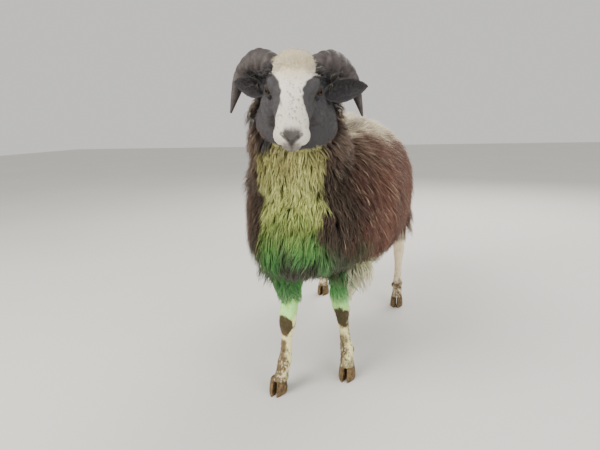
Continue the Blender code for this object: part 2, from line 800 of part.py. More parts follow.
# How far a lock's tip hangs free of the core, and how far it stands off along its root's way out
HANG = 0.36
STAND_OFF = 0.3
BARE_EDGE = 0.009
BELLY_MIDDLE = 0.45
COLLAR = 0.022


def wool_zone(point):
    cut, facing = NECK_CUT
    if (point - cut).dot(facing) > 0:
        return "neck"
    if point.y > 0.765 and abs(point.x) < 0.055 and point.z > 0.33:
        return "tail"
    if point.z < UPPER_TOP["fore"] and point.y < 0.20 and abs(point.x) > 0.02:
        return "fore"
    if point.z < UPPER_TOP["hind"] and point.y > 0.50:
        return "hind"
    return "trunk"


def wool_lie(point, normal):
    """The way the wool lies: back from the spine, down the sides, and straight down in front."""
    side = max(-1.0, min(1.0, point.x / 0.12))
    top = max(0.0, normal.z)
    front = max(0.0, -normal.y)
    back = max(0.0, normal.y)
    lie = Vector((0.35 * side, 0.50 - 0.75 * front - 0.4 * back, -0.85))
    lie = lie.lerp(Vector((0.55 * side, 0.80, -0.15)), top**3)
    lie = lie - normal * lie.dot(normal)
    return lie.normalized()


def head_gap(points):
    """How far each place lies from the space that the head fills."""
    place = np.array(head_place().inverted())
    on_head = points @ place[:3, :3].T + place[:3, 3]
    outside = np.column_stack([on_head[:, 1] - HEAD_BACK, HEAD_UNDER - on_head[:, 2]])
    return outside.max(axis=1)


def scatter(core, chance, tries=12000):
    """Roots spread evenly over the core from the collar down, each with the surface's way out.

    None stands on the cut where the head comes, or close to the bare lower legs.
    """
    core.data.calc_loop_triangles()
    corners = np.array([[core.data.vertices[i].co for i in t.vertices] for t in core.data.loop_triangles])
    across = np.cross(corners[:, 1] - corners[:, 0], corners[:, 2] - corners[:, 0])
    area = np.linalg.norm(across, axis=1)
    picked = chance.choice(len(area), tries, p=area / area.sum())
    share = chance.random((2, tries, 1))
    share = np.where(share.sum(axis=0) > 1, 1 - share, share)
    first = corners[picked, 0]
    points = first + share[0] * (corners[picked, 1] - first) + share[1] * (corners[picked, 2] - first)
    bare_top = np.where(points[:, 1] < BELLY_MIDDLE, SHANK_TOP["fore"], SHANK_TOP["hind"]) + BARE_EDGE
    grown = (head_gap(points) > GAP) & (points[:, 2] > bare_top)
    picked, points = picked[grown], points[grown]
    roots = []
    taken = np.empty((0, 3))
    collar = head_gap(points) < COLLAR
    order = np.argsort(~collar, kind="stable")
    for index, place in zip(picked[order], points[order]):
        room = WOOL[wool_zone(Vector(place))][0]
        if len(taken) and np.linalg.norm(taken - place, axis=1).min() < room:
            continue
        taken = np.vstack([taken, place])
        roots.append((Vector(place), Vector(across[index] / area[index])))
    return roots


def ridged(centre, side, outward, half, rise):
    """A lock's section: flat beneath, with a ridge along its back."""
    return [centre - side * half, centre + side * half, centre + outward * rise]


def lock(tree, root, normal, chance):
    """A flat lock of wool, sunk in the core, that bends over along its lie and tapers to a point."""
    room, length, height = WOOL[wool_zone(root)]
    length *= chance.uniform(0.85, 1.15) * (LOW_SHARE if root.z < LOW_WOOL else 1.0)
    half = room * LOCK_WIDTH / 2 * chance.uniform(0.9, 1.1)
    lie = wool_lie(root, normal)
    side = lie.cross(normal)
    sway = chance.uniform(-1, 1) * LOCK_SWAY
    lie = (lie + side * sway * 0.6).normalized()

    def place_at(share, rise):
        free = root + lie * length * share + side * length * sway * share**2
        on_core, outward, _, _ = tree.find_nearest(free)
        hang = HANG * share * max(0.0, -lie.z)
        return on_core.lerp(free, hang) + outward.lerp(normal, STAND_OFF) * rise, outward

    rings = [ridged(root - normal * LOCK_ROOT, side, normal, half * LOCK_FOOT[0], half * LOCK_FOOT[1])]
    for share, wide, rise in LOCK_SHAPE:
        centre, outward = place_at(share, rise * height)
        rings.append(ridged(centre, side, outward, half * wide, half * wide * LOCK_FLATNESS))
    return loft("lock", rings, place_at(1.0, height)[0])


def whole_body(chance):
    """The fleece's core with all its locks, from the throat to the tail and down to the bare legs."""
    core = trunk_core()
    cores = [column("neck", NECK, CORE_INSET, 11, 16)]
    tail = [(place, 0.0, y, z, half, depth) for place, y, z, half, depth in TAIL]
    cores.append(column("tail", tail, TAIL_INSET, 8, 10))
    cores += [leg_body(end, side) for end in FOOT for side in SIDES]
    combined(core, "UNION", cores)
    combined(core, "DIFFERENCE", [head_space(0.0)])
    keep_largest(core)
    tree = surface_tree(core)
    locks = [lock(tree, root, normal, chance) for root, normal in scatter(core, chance)]
    return combined(core, "UNION", locks)


def parted(whole):
    """The woolly nodes, cut out of the whole body with thin gaps between them."""
    half = GAP / 2
    legs = [(end, side) for end in FOOT for side in SIDES]
    nodes = []
    for end, side in legs:
        node = copied(whole, f"{end}leg_upper_{side}")
        nodes.append(combined(node, "INTERSECT", [leg_space(end, side, -half)]))
    tail = copied(whole, "tail")
    nodes.append(combined(tail, "INTERSECT", [tail_space(-half)]))
    neck = copied(whole, "neck")
    combined(neck, "INTERSECT", [neck_space(-half)])
    nodes.append(combined(neck, "DIFFERENCE", [head_space(half)]))
    torso = whole
    torso.name = "torso"
    below = block("below", (-EVERYWHERE, -EVERYWHERE, -1), (EVERYWHERE, EVERYWHERE, SHANK_TOP["fore"] + half))
    cuts = [neck_space(half), head_space(half), tail_space(half), below]
    cuts += [leg_space(end, side, half) for end, side in legs]
    nodes.append(combined(torso, "DIFFERENCE", cuts))
    for node in nodes:
        painted(keep_largest(node), "brown_fleece")
    return nodes


def head_parts():
    """The head, and the eyes, ears and horns that stand in it."""
    head = make_head(HEAD_TRIANGLES)
    combined(head, "INTERSECT", [head_space(-GAP / 2)])
    nodes = [painted(head, "black_face")]
    cutters = []
    for side, sign in SIDES.items():
        eye = eyeball(sign)
        eye.name = "eye_" + side
        nodes += [painted(eye, "eye"), painted(horn(side), "horn"), painted(ear(side), "black_face")]
        cutters += [eyeball(sign, GAP), horn(side, GAP), ear_hole(side)]
    combined(head, "DIFFERENCE", cutters)
    keep_largest(head)
    return nodes


def main():
    clear_scene()
    chance = np.random.default_rng(SEED)
    nodes = head_parts() + parted(whole_body(chance))
    for end in FOOT:
        for side in SIDES:
            nodes.append(painted(shank(end, side), "white_leg"))
            for place in ("inner", "outer"):
                nodes.append(painted(claw(end, side, place), "claw"))
    for node in nodes:
        node.data.transform(Matrix.Translation(-STANCE_CENTRE))


main()
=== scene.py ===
"""The looks of a life-size Jacob sheep: skin, fleece and short fur, eyes, horns and claws, in a studio.

Metres, +Z up. The sheep faces -Y, so its left side is at +X. It is laid out from a point on the ground
between the fore feet, as its solids are, and each finished piece is moved to the solids' own origin.
"""

import math

import bmesh
import bpy
import numpy as np
from mathutils import Matrix, Vector
from mathutils.bvhtree import BVHTree
from mathutils.kdtree import KDTree


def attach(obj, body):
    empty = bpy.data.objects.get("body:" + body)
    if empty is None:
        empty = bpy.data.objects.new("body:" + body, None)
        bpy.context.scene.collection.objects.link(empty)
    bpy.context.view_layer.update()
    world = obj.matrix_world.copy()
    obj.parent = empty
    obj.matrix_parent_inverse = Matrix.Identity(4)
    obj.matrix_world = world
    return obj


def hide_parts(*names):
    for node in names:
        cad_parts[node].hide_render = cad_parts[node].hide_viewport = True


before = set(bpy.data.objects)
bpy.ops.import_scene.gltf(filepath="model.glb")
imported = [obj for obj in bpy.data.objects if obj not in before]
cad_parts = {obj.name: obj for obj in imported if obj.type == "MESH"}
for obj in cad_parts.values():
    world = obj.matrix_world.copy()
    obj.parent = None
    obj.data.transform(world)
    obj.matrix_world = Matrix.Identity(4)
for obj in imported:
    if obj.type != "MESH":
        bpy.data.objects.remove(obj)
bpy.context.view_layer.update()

SEED = 41
SIDES = {"left": 1, "right": -1}
RIGHT, FORWARD, UP = Vector((1, 0, 0)), Vector((0, -1, 0)), Vector((0, 0, 1))

# Stance: where the four feet stand, and the middle of the whole animal seen from above
FORE_FOOT = {"left": Vector((0.075, 0.090, 0)), "right": Vector((-0.083, -0.022, 0))}
HIND_FOOT = {"left": Vector((0.150, 0.632, 0)), "right": Vector((-0.150, 0.688, 0))}
FOOT = {"fore": FORE_FOOT, "hind": HIND_FOOT}
STANCE_CENTRE = Vector((0.0012, 0.3029, 0.0))

# Head: the middle of its eye line, and how it is carried
EYE_MIDDLE = Vector((0.015, -0.129, 0.742))
HEAD_YAW = math.radians(17)
HEAD_ROLL = math.radians(3)
FACE_SLOPE = math.radians(37)
EYE_RADIUS = 0.0135
EYE_CENTRE = Vector((0.0440, 0.000, 0.001))
EYE_OUT = Vector((0.86, -0.47, 0.16)).normalized()
LOWEST_JAW = 0.55
# Where the black of the face ends on the neck: behind the cheek, and under it
BEHIND_CHEEK = 0.048
UNDER_CHEEK = -0.104
CORONET = 0.036
# How near a place has to be to a surface to lie on it
TOUCH = 0.0006

# How far the skin lies inside the solids: under the fleece, and under the short fur
FLEECE_DEPTH = 0.028
TAIL_DEPTH = 0.014
FUR_DEPTH = 0.0010

# Where the long fleece gives way to short fur on the legs, in front and behind
FLEECE_END = {"fore": 0.243, "hind": 0.264}


# Curves, lofts and joined shapes


def eased(stations, count):
    """Rows read evenly along a smooth curve through the stations, whose first number is the place."""
    rows = np.array(stations, float)
    if rows[0, 0] > rows[-1, 0]:
        return eased(rows[::-1], count)[::-1]
    place, values = rows[:, 0], rows[:, 1:]
    slope = np.gradient(values, place, axis=0)
    asked = np.linspace(place[0], place[-1], count)
    index = np.searchsorted(place[1:-1], asked, side="right")
    wide = (place[index + 1] - place[index])[:, None]
    t = (asked - place[index])[:, None] / wide
    read = (
        values[index] * (1 + 2 * t) * (1 - t) ** 2
        + slope[index] * wide * t * (1 - t) ** 2
        + values[index + 1] * t**2 * (3 - 2 * t)
        + slope[index + 1] * wide * t**2 * (t - 1)
    )
    return np.column_stack([asked, read])


def ring(centre, right, up, half, rise, drop, count, power):
    """A closed loop round centre, half wide, reaching rise above it and drop below it."""
    points = []
    for k in range(count):
        angle = math.tau * k / count
        across = math.copysign(abs(math.cos(angle)) ** (2 / power), math.cos(angle))
        along = math.copysign(abs(math.sin(angle)) ** (2 / power), math.sin(angle))
        points.append(centre + right * half * across + up * (rise if along > 0 else drop) * along)
    return points


def object_of(name, mesh):
    data = bpy.data.meshes.new(name)
    mesh.to_mesh(data)
    mesh.free()
    thing = bpy.data.objects.new(name, data)
    bpy.context.scene.collection.objects.link(thing)
    return thing


def place_key(point):
    return tuple(round(c, 7) for c in point)


def first_loop(points):
    """A new mesh with one closed loop through the points."""
    mesh = bmesh.new()
    loop = bmesh.ops.create_circle(mesh, segments=len(points), radius=1.0)["verts"]
    for corner, point in zip(loop, points):
        corner.co = point
    return mesh, list(loop), list(mesh.edges)


def drawn_out(mesh, loop, edges, points):
    """The loop and its edges, drawn out from where they are to the next points."""
    drawn = bmesh.ops.extrude_edge_only(mesh, edges=edges)["geom"]
    found = {place_key(item.co): item for item in drawn if isinstance(item, bmesh.types.BMVert)}
    loop = [found[place_key(corner.co)] for corner in loop]
    edges = [item for item in drawn if isinstance(item, bmesh.types.BMEdge)]
    edges = [edge for edge in edges if edge.verts[0] in loop and edge.verts[1] in loop]
    for corner, point in zip(loop, points):
        corner.co = point
    return loop, edges


def in_order(mesh):
    """Sorts a mesh's edges and faces by their corners, so that every run gives them in the same order."""
    mesh.verts.index_update()
    count = len(mesh.verts)

    def rank(part):
        corners = [corner.index for corner in part.verts]
        return min(corners) * count + max(corners)

    mesh.edges.sort(key=rank)
    mesh.faces.sort(key=rank)
    return mesh


def loft(name, rings):
    """A closed body: a circle is set on the first ring and drawn out from ring to ring."""
    mesh, loop, edges = first_loop(rings[0])
    mesh.faces.new(loop[::-1])
    for points in rings[1:]:
        loop, edges = drawn_out(mesh, loop, edges, points)
    mesh.faces.new(loop)
    bmesh.ops.recalc_face_normals(mesh, faces=mesh.faces)
    return smoothed(object_of(name, in_order(mesh)))


def add_ball(mesh, centre, radii, level=3):
    place = Matrix.Translation(centre) @ Matrix.Diagonal((*radii, 1))
    bmesh.ops.create_icosphere(mesh, subdivisions=level, radius=1.0, matrix=place)


def ball(name, centre, radii, level=3):
    """An ellipsoid with the given radii."""
    mesh = bmesh.new()
    add_ball(mesh, centre, radii, level)
    return object_of(name, mesh)


def apply_modifiers(thing):
    graph = bpy.context.evaluated_depsgraph_get()
    data = bpy.data.meshes.new_from_object(thing.evaluated_get(graph))
    thing.modifiers.clear()
    thing.data = data
    return thing


def combined(thing, operation, others):
    """thing united with, or cut by, the other objects, which are then removed."""
    group = bpy.data.collections.new("operands")
    bpy.context.scene.collection.children.link(group)
    for other in others:
        bpy.context.scene.collection.objects.unlink(other)
        group.objects.link(other)
    boolean = thing.modifiers.new("join", "BOOLEAN")
    boolean.operation = operation
    boolean.solver = "MANIFOLD"
    boolean.operand_type = "COLLECTION"
    boolean.collection = group
    apply_modifiers(thing)
    for other in others:
        bpy.data.objects.remove(other)
    bpy.data.collections.remove(group)
    return thing


def blended(thing, voxel, rounds):
    """One smooth surface over all of the object's joined shapes."""
    remesh = thing.modifiers.new("blend", "REMESH")
    remesh.mode = "VOXEL"
    remesh.voxel_size = voxel
    apply_modifiers(thing)
    smooth = thing.modifiers.new("soften", "SMOOTH")
    smooth.factor = 0.5
    smooth.iterations = rounds
    return apply_modifiers(thing)


def surface_tree(*things):
    """A search tree over one surface or over several together."""
    mesh = bmesh.new()
    for thing in things:
        mesh.from_mesh(thing.data)
    tree = BVHTree.FromBMesh(mesh)
    mesh.free()
    return tree


def corners_of(thing):
    """The mesh's corners and their ways out, as arrays."""
    points = np.empty(len(thing.data.vertices) * 3)
    ways = np.empty(len(thing.data.vertices) * 3)
    thing.data.vertices.foreach_get("co", points)
    thing.data.vertices.foreach_get("normal", ways)
    return points.reshape(-1, 3), ways.reshape(-1, 3)


def keep_colours(data, name, colours):
    """Keeps a linear colour at each corner of a mesh."""
    rows = np.column_stack([colours, np.ones(len(colours))]).astype(np.float32)
    data.attributes.new(name, "FLOAT_COLOR", "POINT").data.foreach_set("color", rows.ravel())


def smoothed(thing):
    for face in thing.data.polygons:
        face.use_smooth = True
    return thing


# The head, laid out with its eye line at the origin, +X to its left and -Y along the face to the nose


def head_level():
    turn = Matrix.Rotation(HEAD_YAW, 4, "Z") @ Matrix.Rotation(HEAD_ROLL, 4, "Y")
    return Matrix.Translation(EYE_MIDDLE) @ turn


def head_place():
    return head_level() @ Matrix.Rotation(FACE_SLOPE, 4, "X")


# Stations from poll to nose, over the short wool of the forehead: place, top, bottom, half width
SKULL = (
    (0.098, 0.018, -0.020, 0.022),
    (0.086, 0.036, -0.040, 0.038),
    (0.062, 0.047, -0.054, 0.050),
    (0.032, 0.047, -0.058, 0.055),
    (0.000, 0.038, -0.055, 0.050),
    (-0.030, 0.027, -0.050, 0.041),
    (-0.060, 0.020, -0.046, 0.0355),
    (-0.088, 0.0140, -0.042, 0.0325),
    (-0.110, 0.0065, -0.040, 0.0320),
    (-0.127, -0.0035, -0.038, 0.0275),
    (-0.1370, -0.0125, -0.033, 0.0155),
)
JAW = (
    (0.062, -0.044, -0.080, 0.030),
    (0.040, -0.040, -0.093, 0.040),
    (0.010, -0.038, -0.095, 0.043),
    (-0.025, -0.036, -0.084, 0.037),
    (-0.055, -0.036, -0.071, 0.030),
    (-0.088, -0.035, -0.060, 0.0245),
    (-0.110, -0.035, -0.0535, 0.0215),
    (-0.125, -0.036, -0.0495, 0.0165),
    (-0.1325, -0.038, -0.0455, 0.0085),
)
# Rounded masses on the skull: middle and radii, for the left side where they come in pairs
PAIRED_MASSES = {
    "cheek": ((0.036, 0.018, -0.047), (0.0355, 0.054, 0.039)),
    "brow": ((0.036, 0.003, 0.006), (0.0195, 0.025, 0.023)),
    "muzzle": ((0.0165, -0.112, -0.021), (0.0195, 0.022, 0.0205)),
    "nostril_wing": ((0.0125, -0.1245, -0.0115), (0.0105, 0.0115, 0.0115)),
    "ear_base": ((0.053, 0.038, -0.010), (0.020, 0.018, 0.020)),
}
MIDDLE_MASSES = {
    "chin": ((0, -0.115, -0.0425), (0.0205, 0.0175, 0.0098)),
    "throat": ((0, 0.050, -0.078), (0.050, 0.055, 0.036)),
}
HEAD_VOXEL = 0.0018
HEAD_SOFTENING = 16

# Creases and ridges of the face: a line for the left side or the middle, its height and its width
NOSTRIL = (
    (0.0045, -0.1345, -0.0185),
    (0.0105, -0.134, -0.013),
    (0.0160, -0.131, -0.0085),
    (0.0195, -0.1255, -0.0080),
)
LIPS_FRONT = ((0.0185, -0.124, -0.0360), (0.010, -0.1315, -0.0350), (0.0, -0.1335, -0.0340))
LIPS_SIDE = (
    (0.0185, -0.124, -0.0360),
    (0.0265, -0.111, -0.0375),
    (0.029, -0.097, -0.0365),
    (0.029, -0.085, -0.034),
)
PHILTRUM = ((0.0, -0.137, -0.020), (0.0, -0.1365, -0.027), (0.0, -0.1355, -0.033))
BROW_RIDGE = ((0.036, -0.022, 0.016), (0.047, -0.004, 0.024), (0.048, 0.020, 0.018))
FACE_CREST = ((0.047, 0.004, -0.021), (0.040, -0.026, -0.021), (0.032, -0.055, -0.020))
TEAR_PIT = ((0.043, -0.020, -0.004), (0.041, -0.025, -0.006), (0.039, -0.030, -0.007))
NOSTRIL_FOLD = ((0.020, -0.116, -0.001), (0.0265, -0.118, -0.008), (0.0285, -0.116, -0.016))
CHEEK_FOLD = ((0.036, -0.044, -0.030), (0.040, -0.030, -0.050), (0.041, -0.022, -0.068))
UNDER_EYE = ((0.052, -0.014, -0.012), (0.0555, 0.000, -0.018), (0.055, 0.015, -0.012))
FACE_LINES = (
    (NOSTRIL, -0.0068, 0.0026),
    (LIPS_FRONT, -0.0036, 0.0022),
    (LIPS_SIDE, -0.0034, 0.0022),
    (PHILTRUM, -0.0020, 0.0018),
    (BROW_RIDGE, 0.0026, 0.0070),
    (FACE_CREST, 0.0020, 0.0060),
    (TEAR_PIT, -0.0026, 0.0045),
    (NOSTRIL_FOLD, -0.0014, 0.0030),
    (CHEEK_FOLD, -0.0018, 0.0090),
    (UNDER_EYE, -0.0014, 0.0036),
)

# The eye's opening as half angles at the eye's centre, along its slit and across it
OPENING_HALF = math.radians(56)
OPENING_RISE = math.radians(31)
OPENING_POINT = 0.45
# How far below and above the eyeball the opening is cut
OPENING_REACH = (-0.004, 0.012)
# A lid's section: how far it lies from the opening's edge to where it sinks, and its height on the eyeball
LID_SECTION = (
    (0.0, -0.0015),
    (0.0, 0.0016),
    (0.05, 0.0027),
    (0.20, 0.0036),
    (0.42, 0.0036),
    (0.70, 0.0016),
    (1.0, -0.0025),
)
LID_EDGE = math.radians(84)
LID_STEPS = 56
LID_TURNS = [math.tau * k / LID_STEPS for k in range(LID_STEPS)]


def mirrored(place):
    return Vector((-place[0], place[1], place[2]))


def head_tube(name, stations, count, sides, power):
    rings = []
    for place, top, bottom, half in eased(stations, count):
        middle = (top + bottom) / 2
        centre = Vector((0, place, middle))
        rings.append(ring(centre, RIGHT, UP, half, top - middle, middle - bottom, sides, power))
    return loft(name, rings)


def head_mass():
    core = head_tube("head", SKULL, 60, 48, 2.3)
    parts = [head_tube("jaw", JAW, 44, 40, 2.2)]
    for name, (middle, radii) in PAIRED_MASSES.items():
        parts += [ball(name, Vector(middle), radii), ball(name, mirrored(middle), radii)]
    for name, (middle, radii) in MIDDLE_MASSES.items():
        parts.append(ball(name, Vector(middle), radii))
    return combined(core, "UNION", parts)


def distance_to_line(points, line):
    """How far each point lies from a smooth line through the given places."""
    route = eased([(i, *p) for i, p in enumerate(line)], 30)[:, 1:]
    gaps = points[:, None, :] - route[None, :, :]
    return np.sqrt((gaps**2).sum(axis=2)).min(axis=1)


def laid(line, tree):
    """The line, moved on to the surface."""
    return [tree.find_nearest(Vector(place))[0] for place in line]


def eye_axes(side):
    """Out of the eye, along its slit towards the nose, and up across it."""
    out = Vector((side * EYE_OUT.x, EYE_OUT.y, EYE_OUT.z))
    slit = Vector((side * 0.30, -0.90, 0.26))
    slit = (slit - out * slit.dot(out)).normalized()
    return out, slit, (slit.cross(out) * side).normalized()


def eye_centre(side):
    return Vector((side * EYE_CENTRE.x, EYE_CENTRE.y, EYE_CENTRE.z))


def around_eye(side, turn, away, height):
    """A place on the eyeball, by the turn round its opening and how far away from the opening's edge."""
    out, slit, up = eye_axes(side)
    almond = Vector((math.cos(turn), math.sin(turn) * (1 - OPENING_POINT * math.cos(turn) ** 2)))
    edge = Vector((OPENING_HALF * almond.x, OPENING_RISE * almond.y))
    wide = Vector((math.cos(turn), math.sin(turn))) * LID_EDGE
    tilt = edge.lerp(wide, away)
    ray = out * math.cos(tilt.length) + (slit * tilt.x + up * tilt.y).normalized() * math.sin(tilt.length)
    return eye_centre(side) + ray * (EYE_RADIUS + height)


def lids(side):
    """Both lids: their section is drawn round the opening as one ring."""
    sections = [[around_eye(side, turn, *place) for place in LID_SECTION] for turn in LID_TURNS]
    mesh, first, edges = first_loop(sections[0])
    loop = first
    for points in sections[1:]:
        loop, edges = drawn_out(mesh, loop, edges, points)
    start = [edge for edge in mesh.edges if edge.verts[0] in first and edge.verts[1] in first]
    bmesh.ops.bridge_loops(mesh, edges=edges + start)
    bmesh.ops.recalc_face_normals(mesh, faces=mesh.faces)
    return object_of("lids", in_order(mesh))


def eye_opening(side):
    rings = [[around_eye(side, turn, 0.0, height) for turn in LID_TURNS] for height in OPENING_REACH]
    return loft("opening", rings)


def carve_face(thing):
    """Presses the face's creases in and its ridges out."""
    tree = surface_tree(thing)
    points, ways = corners_of(thing)
    moved = np.zeros(len(points))
    for line, height, width in FACE_LINES:
        for path in (line, [mirrored(p) for p in line]):
            share = np.exp(-((distance_to_line(points, laid(path, tree)) / width) ** 2))
            moved = np.where(np.abs(height * share) > np.abs(moved), height * share, moved)
    points += ways * (moved - FUR_DEPTH)[:, None]
    thing.data.vertices.foreach_set("co", points.ravel())
    thing.data.update()


def make_head():
    thing = blended(head_mass(), HEAD_VOXEL, HEAD_SOFTENING)
    carve_face(thing)
    combined(thing, "UNION", [lids(side) for side in SIDES.values()])
    combined(thing, "DIFFERENCE", [eye_opening(side) for side in SIDES.values()])
    thing.data.transform(head_place())
    return thing


# Ears: a leaf folded to a cup, from a root and a tip that are level with the head
EAR_ROOT = Vector((0.042, 0.040, -0.001))
EAR_TIP = {"left": Vector((0.152, 0.036, 0.016)), "right": Vector((0.124, 0.036, 0.018))}
EAR_WIDTH = {"left": 0.0250, "right": 0.0210}
EAR_WALL = 0.0024
EAR_ARCH = 0.012
# Stations along the ear: place, share of the half width, and how far round the cup folds, in degrees
EAR_SHAPE = (
    (0.00, 0.36, 165),
    (0.12, 0.48, 150),
    (0.28, 0.72, 112),
    (0.48, 1.00, 84),
    (0.66, 0.93, 66),
    (0.82, 0.66, 52),
    (0.93, 0.36, 44),
    (1.00, 0.08, 40),
)


def ear_axes(side):
    """The ear's root and tip, the way its cup opens, and the way across it."""
    sign = SIDES[side]
    root = Vector((sign * EAR_ROOT.x, EAR_ROOT.y, EAR_ROOT.z))
    tip = Vector((sign * EAR_TIP[side].x, EAR_TIP[side].y, EAR_TIP[side].z))
    along = (tip - root).normalized()
    opening = Vector((sign * 0.12, -1.0, -0.42))
    opening = (opening - along * opening.dot(along)).normalized()
    return root, tip, opening, along.cross(opening) * sign


def crescent(centre, across, opening, half, fold, wall, count):
    """The back of the ear, then its inner face, folded to an arc of the given half angle."""
    fold = math.radians(fold)
    radius = half / math.sin(min(fold, math.pi / 2))
    steps = [2 * k / (count - 1) - 1 for k in range(count)]
    points = []
    for depth, order in ((0.0, steps), (wall, steps[::-1])):
        for step in order:
            size = radius - depth * (1 - 0.55 * abs(step) ** 3)
            arc = size * math.cos(fold * step) - radius * math.cos(fold / 2)
            points.append(centre + across * size * math.sin(fold * step) - opening * arc)
    return points


def ear(side, stations=40, count=20):
    root, tip, opening, across = ear_axes(side)
    rings = []
    for place, share, fold in eased(EAR_SHAPE, stations):
        centre = root.lerp(tip, place) + UP * EAR_ARCH * place * (1 - place)
        wall = EAR_WALL * (1.5 - 0.7 * place)
        rings.append(crescent(centre, across, opening, EAR_WIDTH[side] * share, fold, wall, count))
    thing = loft("ear_" + side, rings)
    thing.data.transform(head_level())
    return thing


# Horns: places from the poll out, back and down, level with the head, with the horn's half thickness
HORN_PATH = (
    (0.00, 0.035, 0.034, 0.041, 0.0245),
    (0.16, 0.056, 0.048, 0.056, 0.0270),
    (0.34, 0.081, 0.068, 0.062, 0.0275),
    (0.52, 0.104, 0.085, 0.0500, 0.0245),
    (0.68, 0.119, 0.090, 0.028, 0.0188),
    (0.84, 0.1285, 0.084, -0.004, 0.0118),
    (1.00, 0.137, 0.070, -0.044, 0.0026),
)
HORN_SPREAD = {"left": 1.09, "right": 1.0}
HORN_RIDGES = 11
HORN_RIDGE_HEIGHT = 0.042
HORN_FLATNESS = 0.84
HORN_GROWTH_LINES = 74
HORN_GROWTH_HEIGHT = 0.010


def horn(side, count=300, sides=36):
    sign = SIDES[side]
    rows = eased(HORN_PATH, count)
    spread = HORN_SPREAD[side] - 1
    path = [Vector((sign * x * (1 + spread * place), y, z)) for place, x, y, z, _ in rows]
    chance = np.random.default_rng(SEED + sign)
    uneven = np.interp(rows[:, 0], np.linspace(0, 1, 24), chance.uniform(-0.6, 0.6, 24))
    rings = []
    for i, centre in enumerate(path):
        ahead = (path[min(i + 1, count - 1)] - path[max(i - 1, 0)]).normalized()
        out = Vector((sign, 0.0, 0.25))
        out = (out - ahead * out.dot(ahead)).normalized()
        place, half = rows[i][0], rows[i][4]
        fade = (1 - place) ** 0.7
        wave = math.sin(math.tau * HORN_RIDGES * place + uneven[i])
        half *= 1 + HORN_RIDGE_HEIGHT * fade * (wave - 0.35 * wave * wave)
        growth = math.sin(math.tau * HORN_GROWTH_LINES * place + 3 * uneven[i])
        half *= 1 + HORN_GROWTH_HEIGHT * fade * growth
        thick = half * HORN_FLATNESS
        rings.append(ring(centre, ahead.cross(out), out, half, thick, thick, sides, 2.3))
    thing = loft("horn_" + side, rings)
    along = thing.data.attributes.new("along", "FLOAT", "POINT")
    share = {}
    for i, points in enumerate(rings):
        for point in points:
            share[place_key(point)] = rows[i][0]
    along.data.foreach_set("value", [share.get(place_key(v.co), 0.0) for v in thing.data.vertices])
    thing.data.transform(head_level())
    return thing


# The fleece's outline, out to its tips. Trunk: place along it, middle height, half width, rise, drop
TRUNK = (
    (-0.132, 0.428, 0.035, 0.045, 0.045),
    (-0.112, 0.430, 0.088, 0.105, 0.100),
    (-0.070, 0.440, 0.124, 0.158, 0.112),
    (-0.012, 0.445, 0.156, 0.208, 0.137),
    (0.070, 0.452, 0.186, 0.236, 0.166),
    (0.210, 0.450, 0.205, 0.240, 0.187),
    (0.360, 0.450, 0.209, 0.238, 0.198),
    (0.500, 0.458, 0.207, 0.230, 0.184),
    (0.615, 0.466, 0.190, 0.214, 0.158),
    (0.700, 0.470, 0.158, 0.186, 0.130),
    (0.755, 0.470, 0.112, 0.142, 0.098),
    (0.785, 0.470, 0.045, 0.062, 0.045),
)
# Neck: place, its centre in X, Y and Z, its half width, and its half depth
NECK = (
    (0.00, 0.000, 0.085, 0.470, 0.118, 0.140),
    (0.25, 0.000, 0.036, 0.530, 0.122, 0.158),
    (0.50, -0.004, -0.004, 0.600, 0.120, 0.130),
    (0.72, -0.010, -0.032, 0.660, 0.119, 0.116),
    (0.88, -0.010, -0.044, 0.706, 0.116, 0.100),
    (1.00, -0.004, -0.048, 0.752, 0.096, 0.082),
)
# Tail: place, its centre in Y and Z, its half width and half depth
TAIL = (
    (0.00, 0.715, 0.600, 0.046, 0.036),
    (0.25, 0.768, 0.572, 0.050, 0.040),
    (0.55, 0.790, 0.490, 0.048, 0.036),
    (0.82, 0.796, 0.405, 0.038, 0.030),
    (1.00, 0.795, 0.350, 0.018, 0.016),
)


def trunk(inset, count=40, sides=48):
    """The trunk under its wool, drawn in on all sides and at both ends."""
    rings = []
    for place, middle, half, rise, drop in eased(TRUNK, count):
        shy = min(inset, 0.5 * half, 0.5 * rise, 0.5 * drop)
        ahead = min(1.0, max(0.0, (0.070 - place) / 0.2))
        behind = min(1.0, max(0.0, (place - 0.600) / 0.185))
        centre = Vector((0, place + inset * (ahead - behind), middle))
        rings.append(ring(centre, RIGHT, UP, half - shy, rise - shy, drop - shy, sides, 2.25))
    return loft("skin", rings)


def column(name, stations, inset, count, sides):
    """A neck or a tail: a loft whose sections stand square to its run."""
    rows = eased(stations, count)
    rings = []
    for i, (_, x, y, z, half, depth) in enumerate(rows):
        ahead = Vector((rows[min(i + 1, count - 1)] - rows[max(i - 1, 0)])[1:4]).normalized()
        shy = min(inset, 0.5 * half, 0.5 * depth)
        half, depth = half - shy, depth - shy
        rings.append(ring(Vector((x, y, z)), RIGHT, ahead.cross(RIGHT), half, depth, depth, sides, 2.1))
    return loft(name, rings)


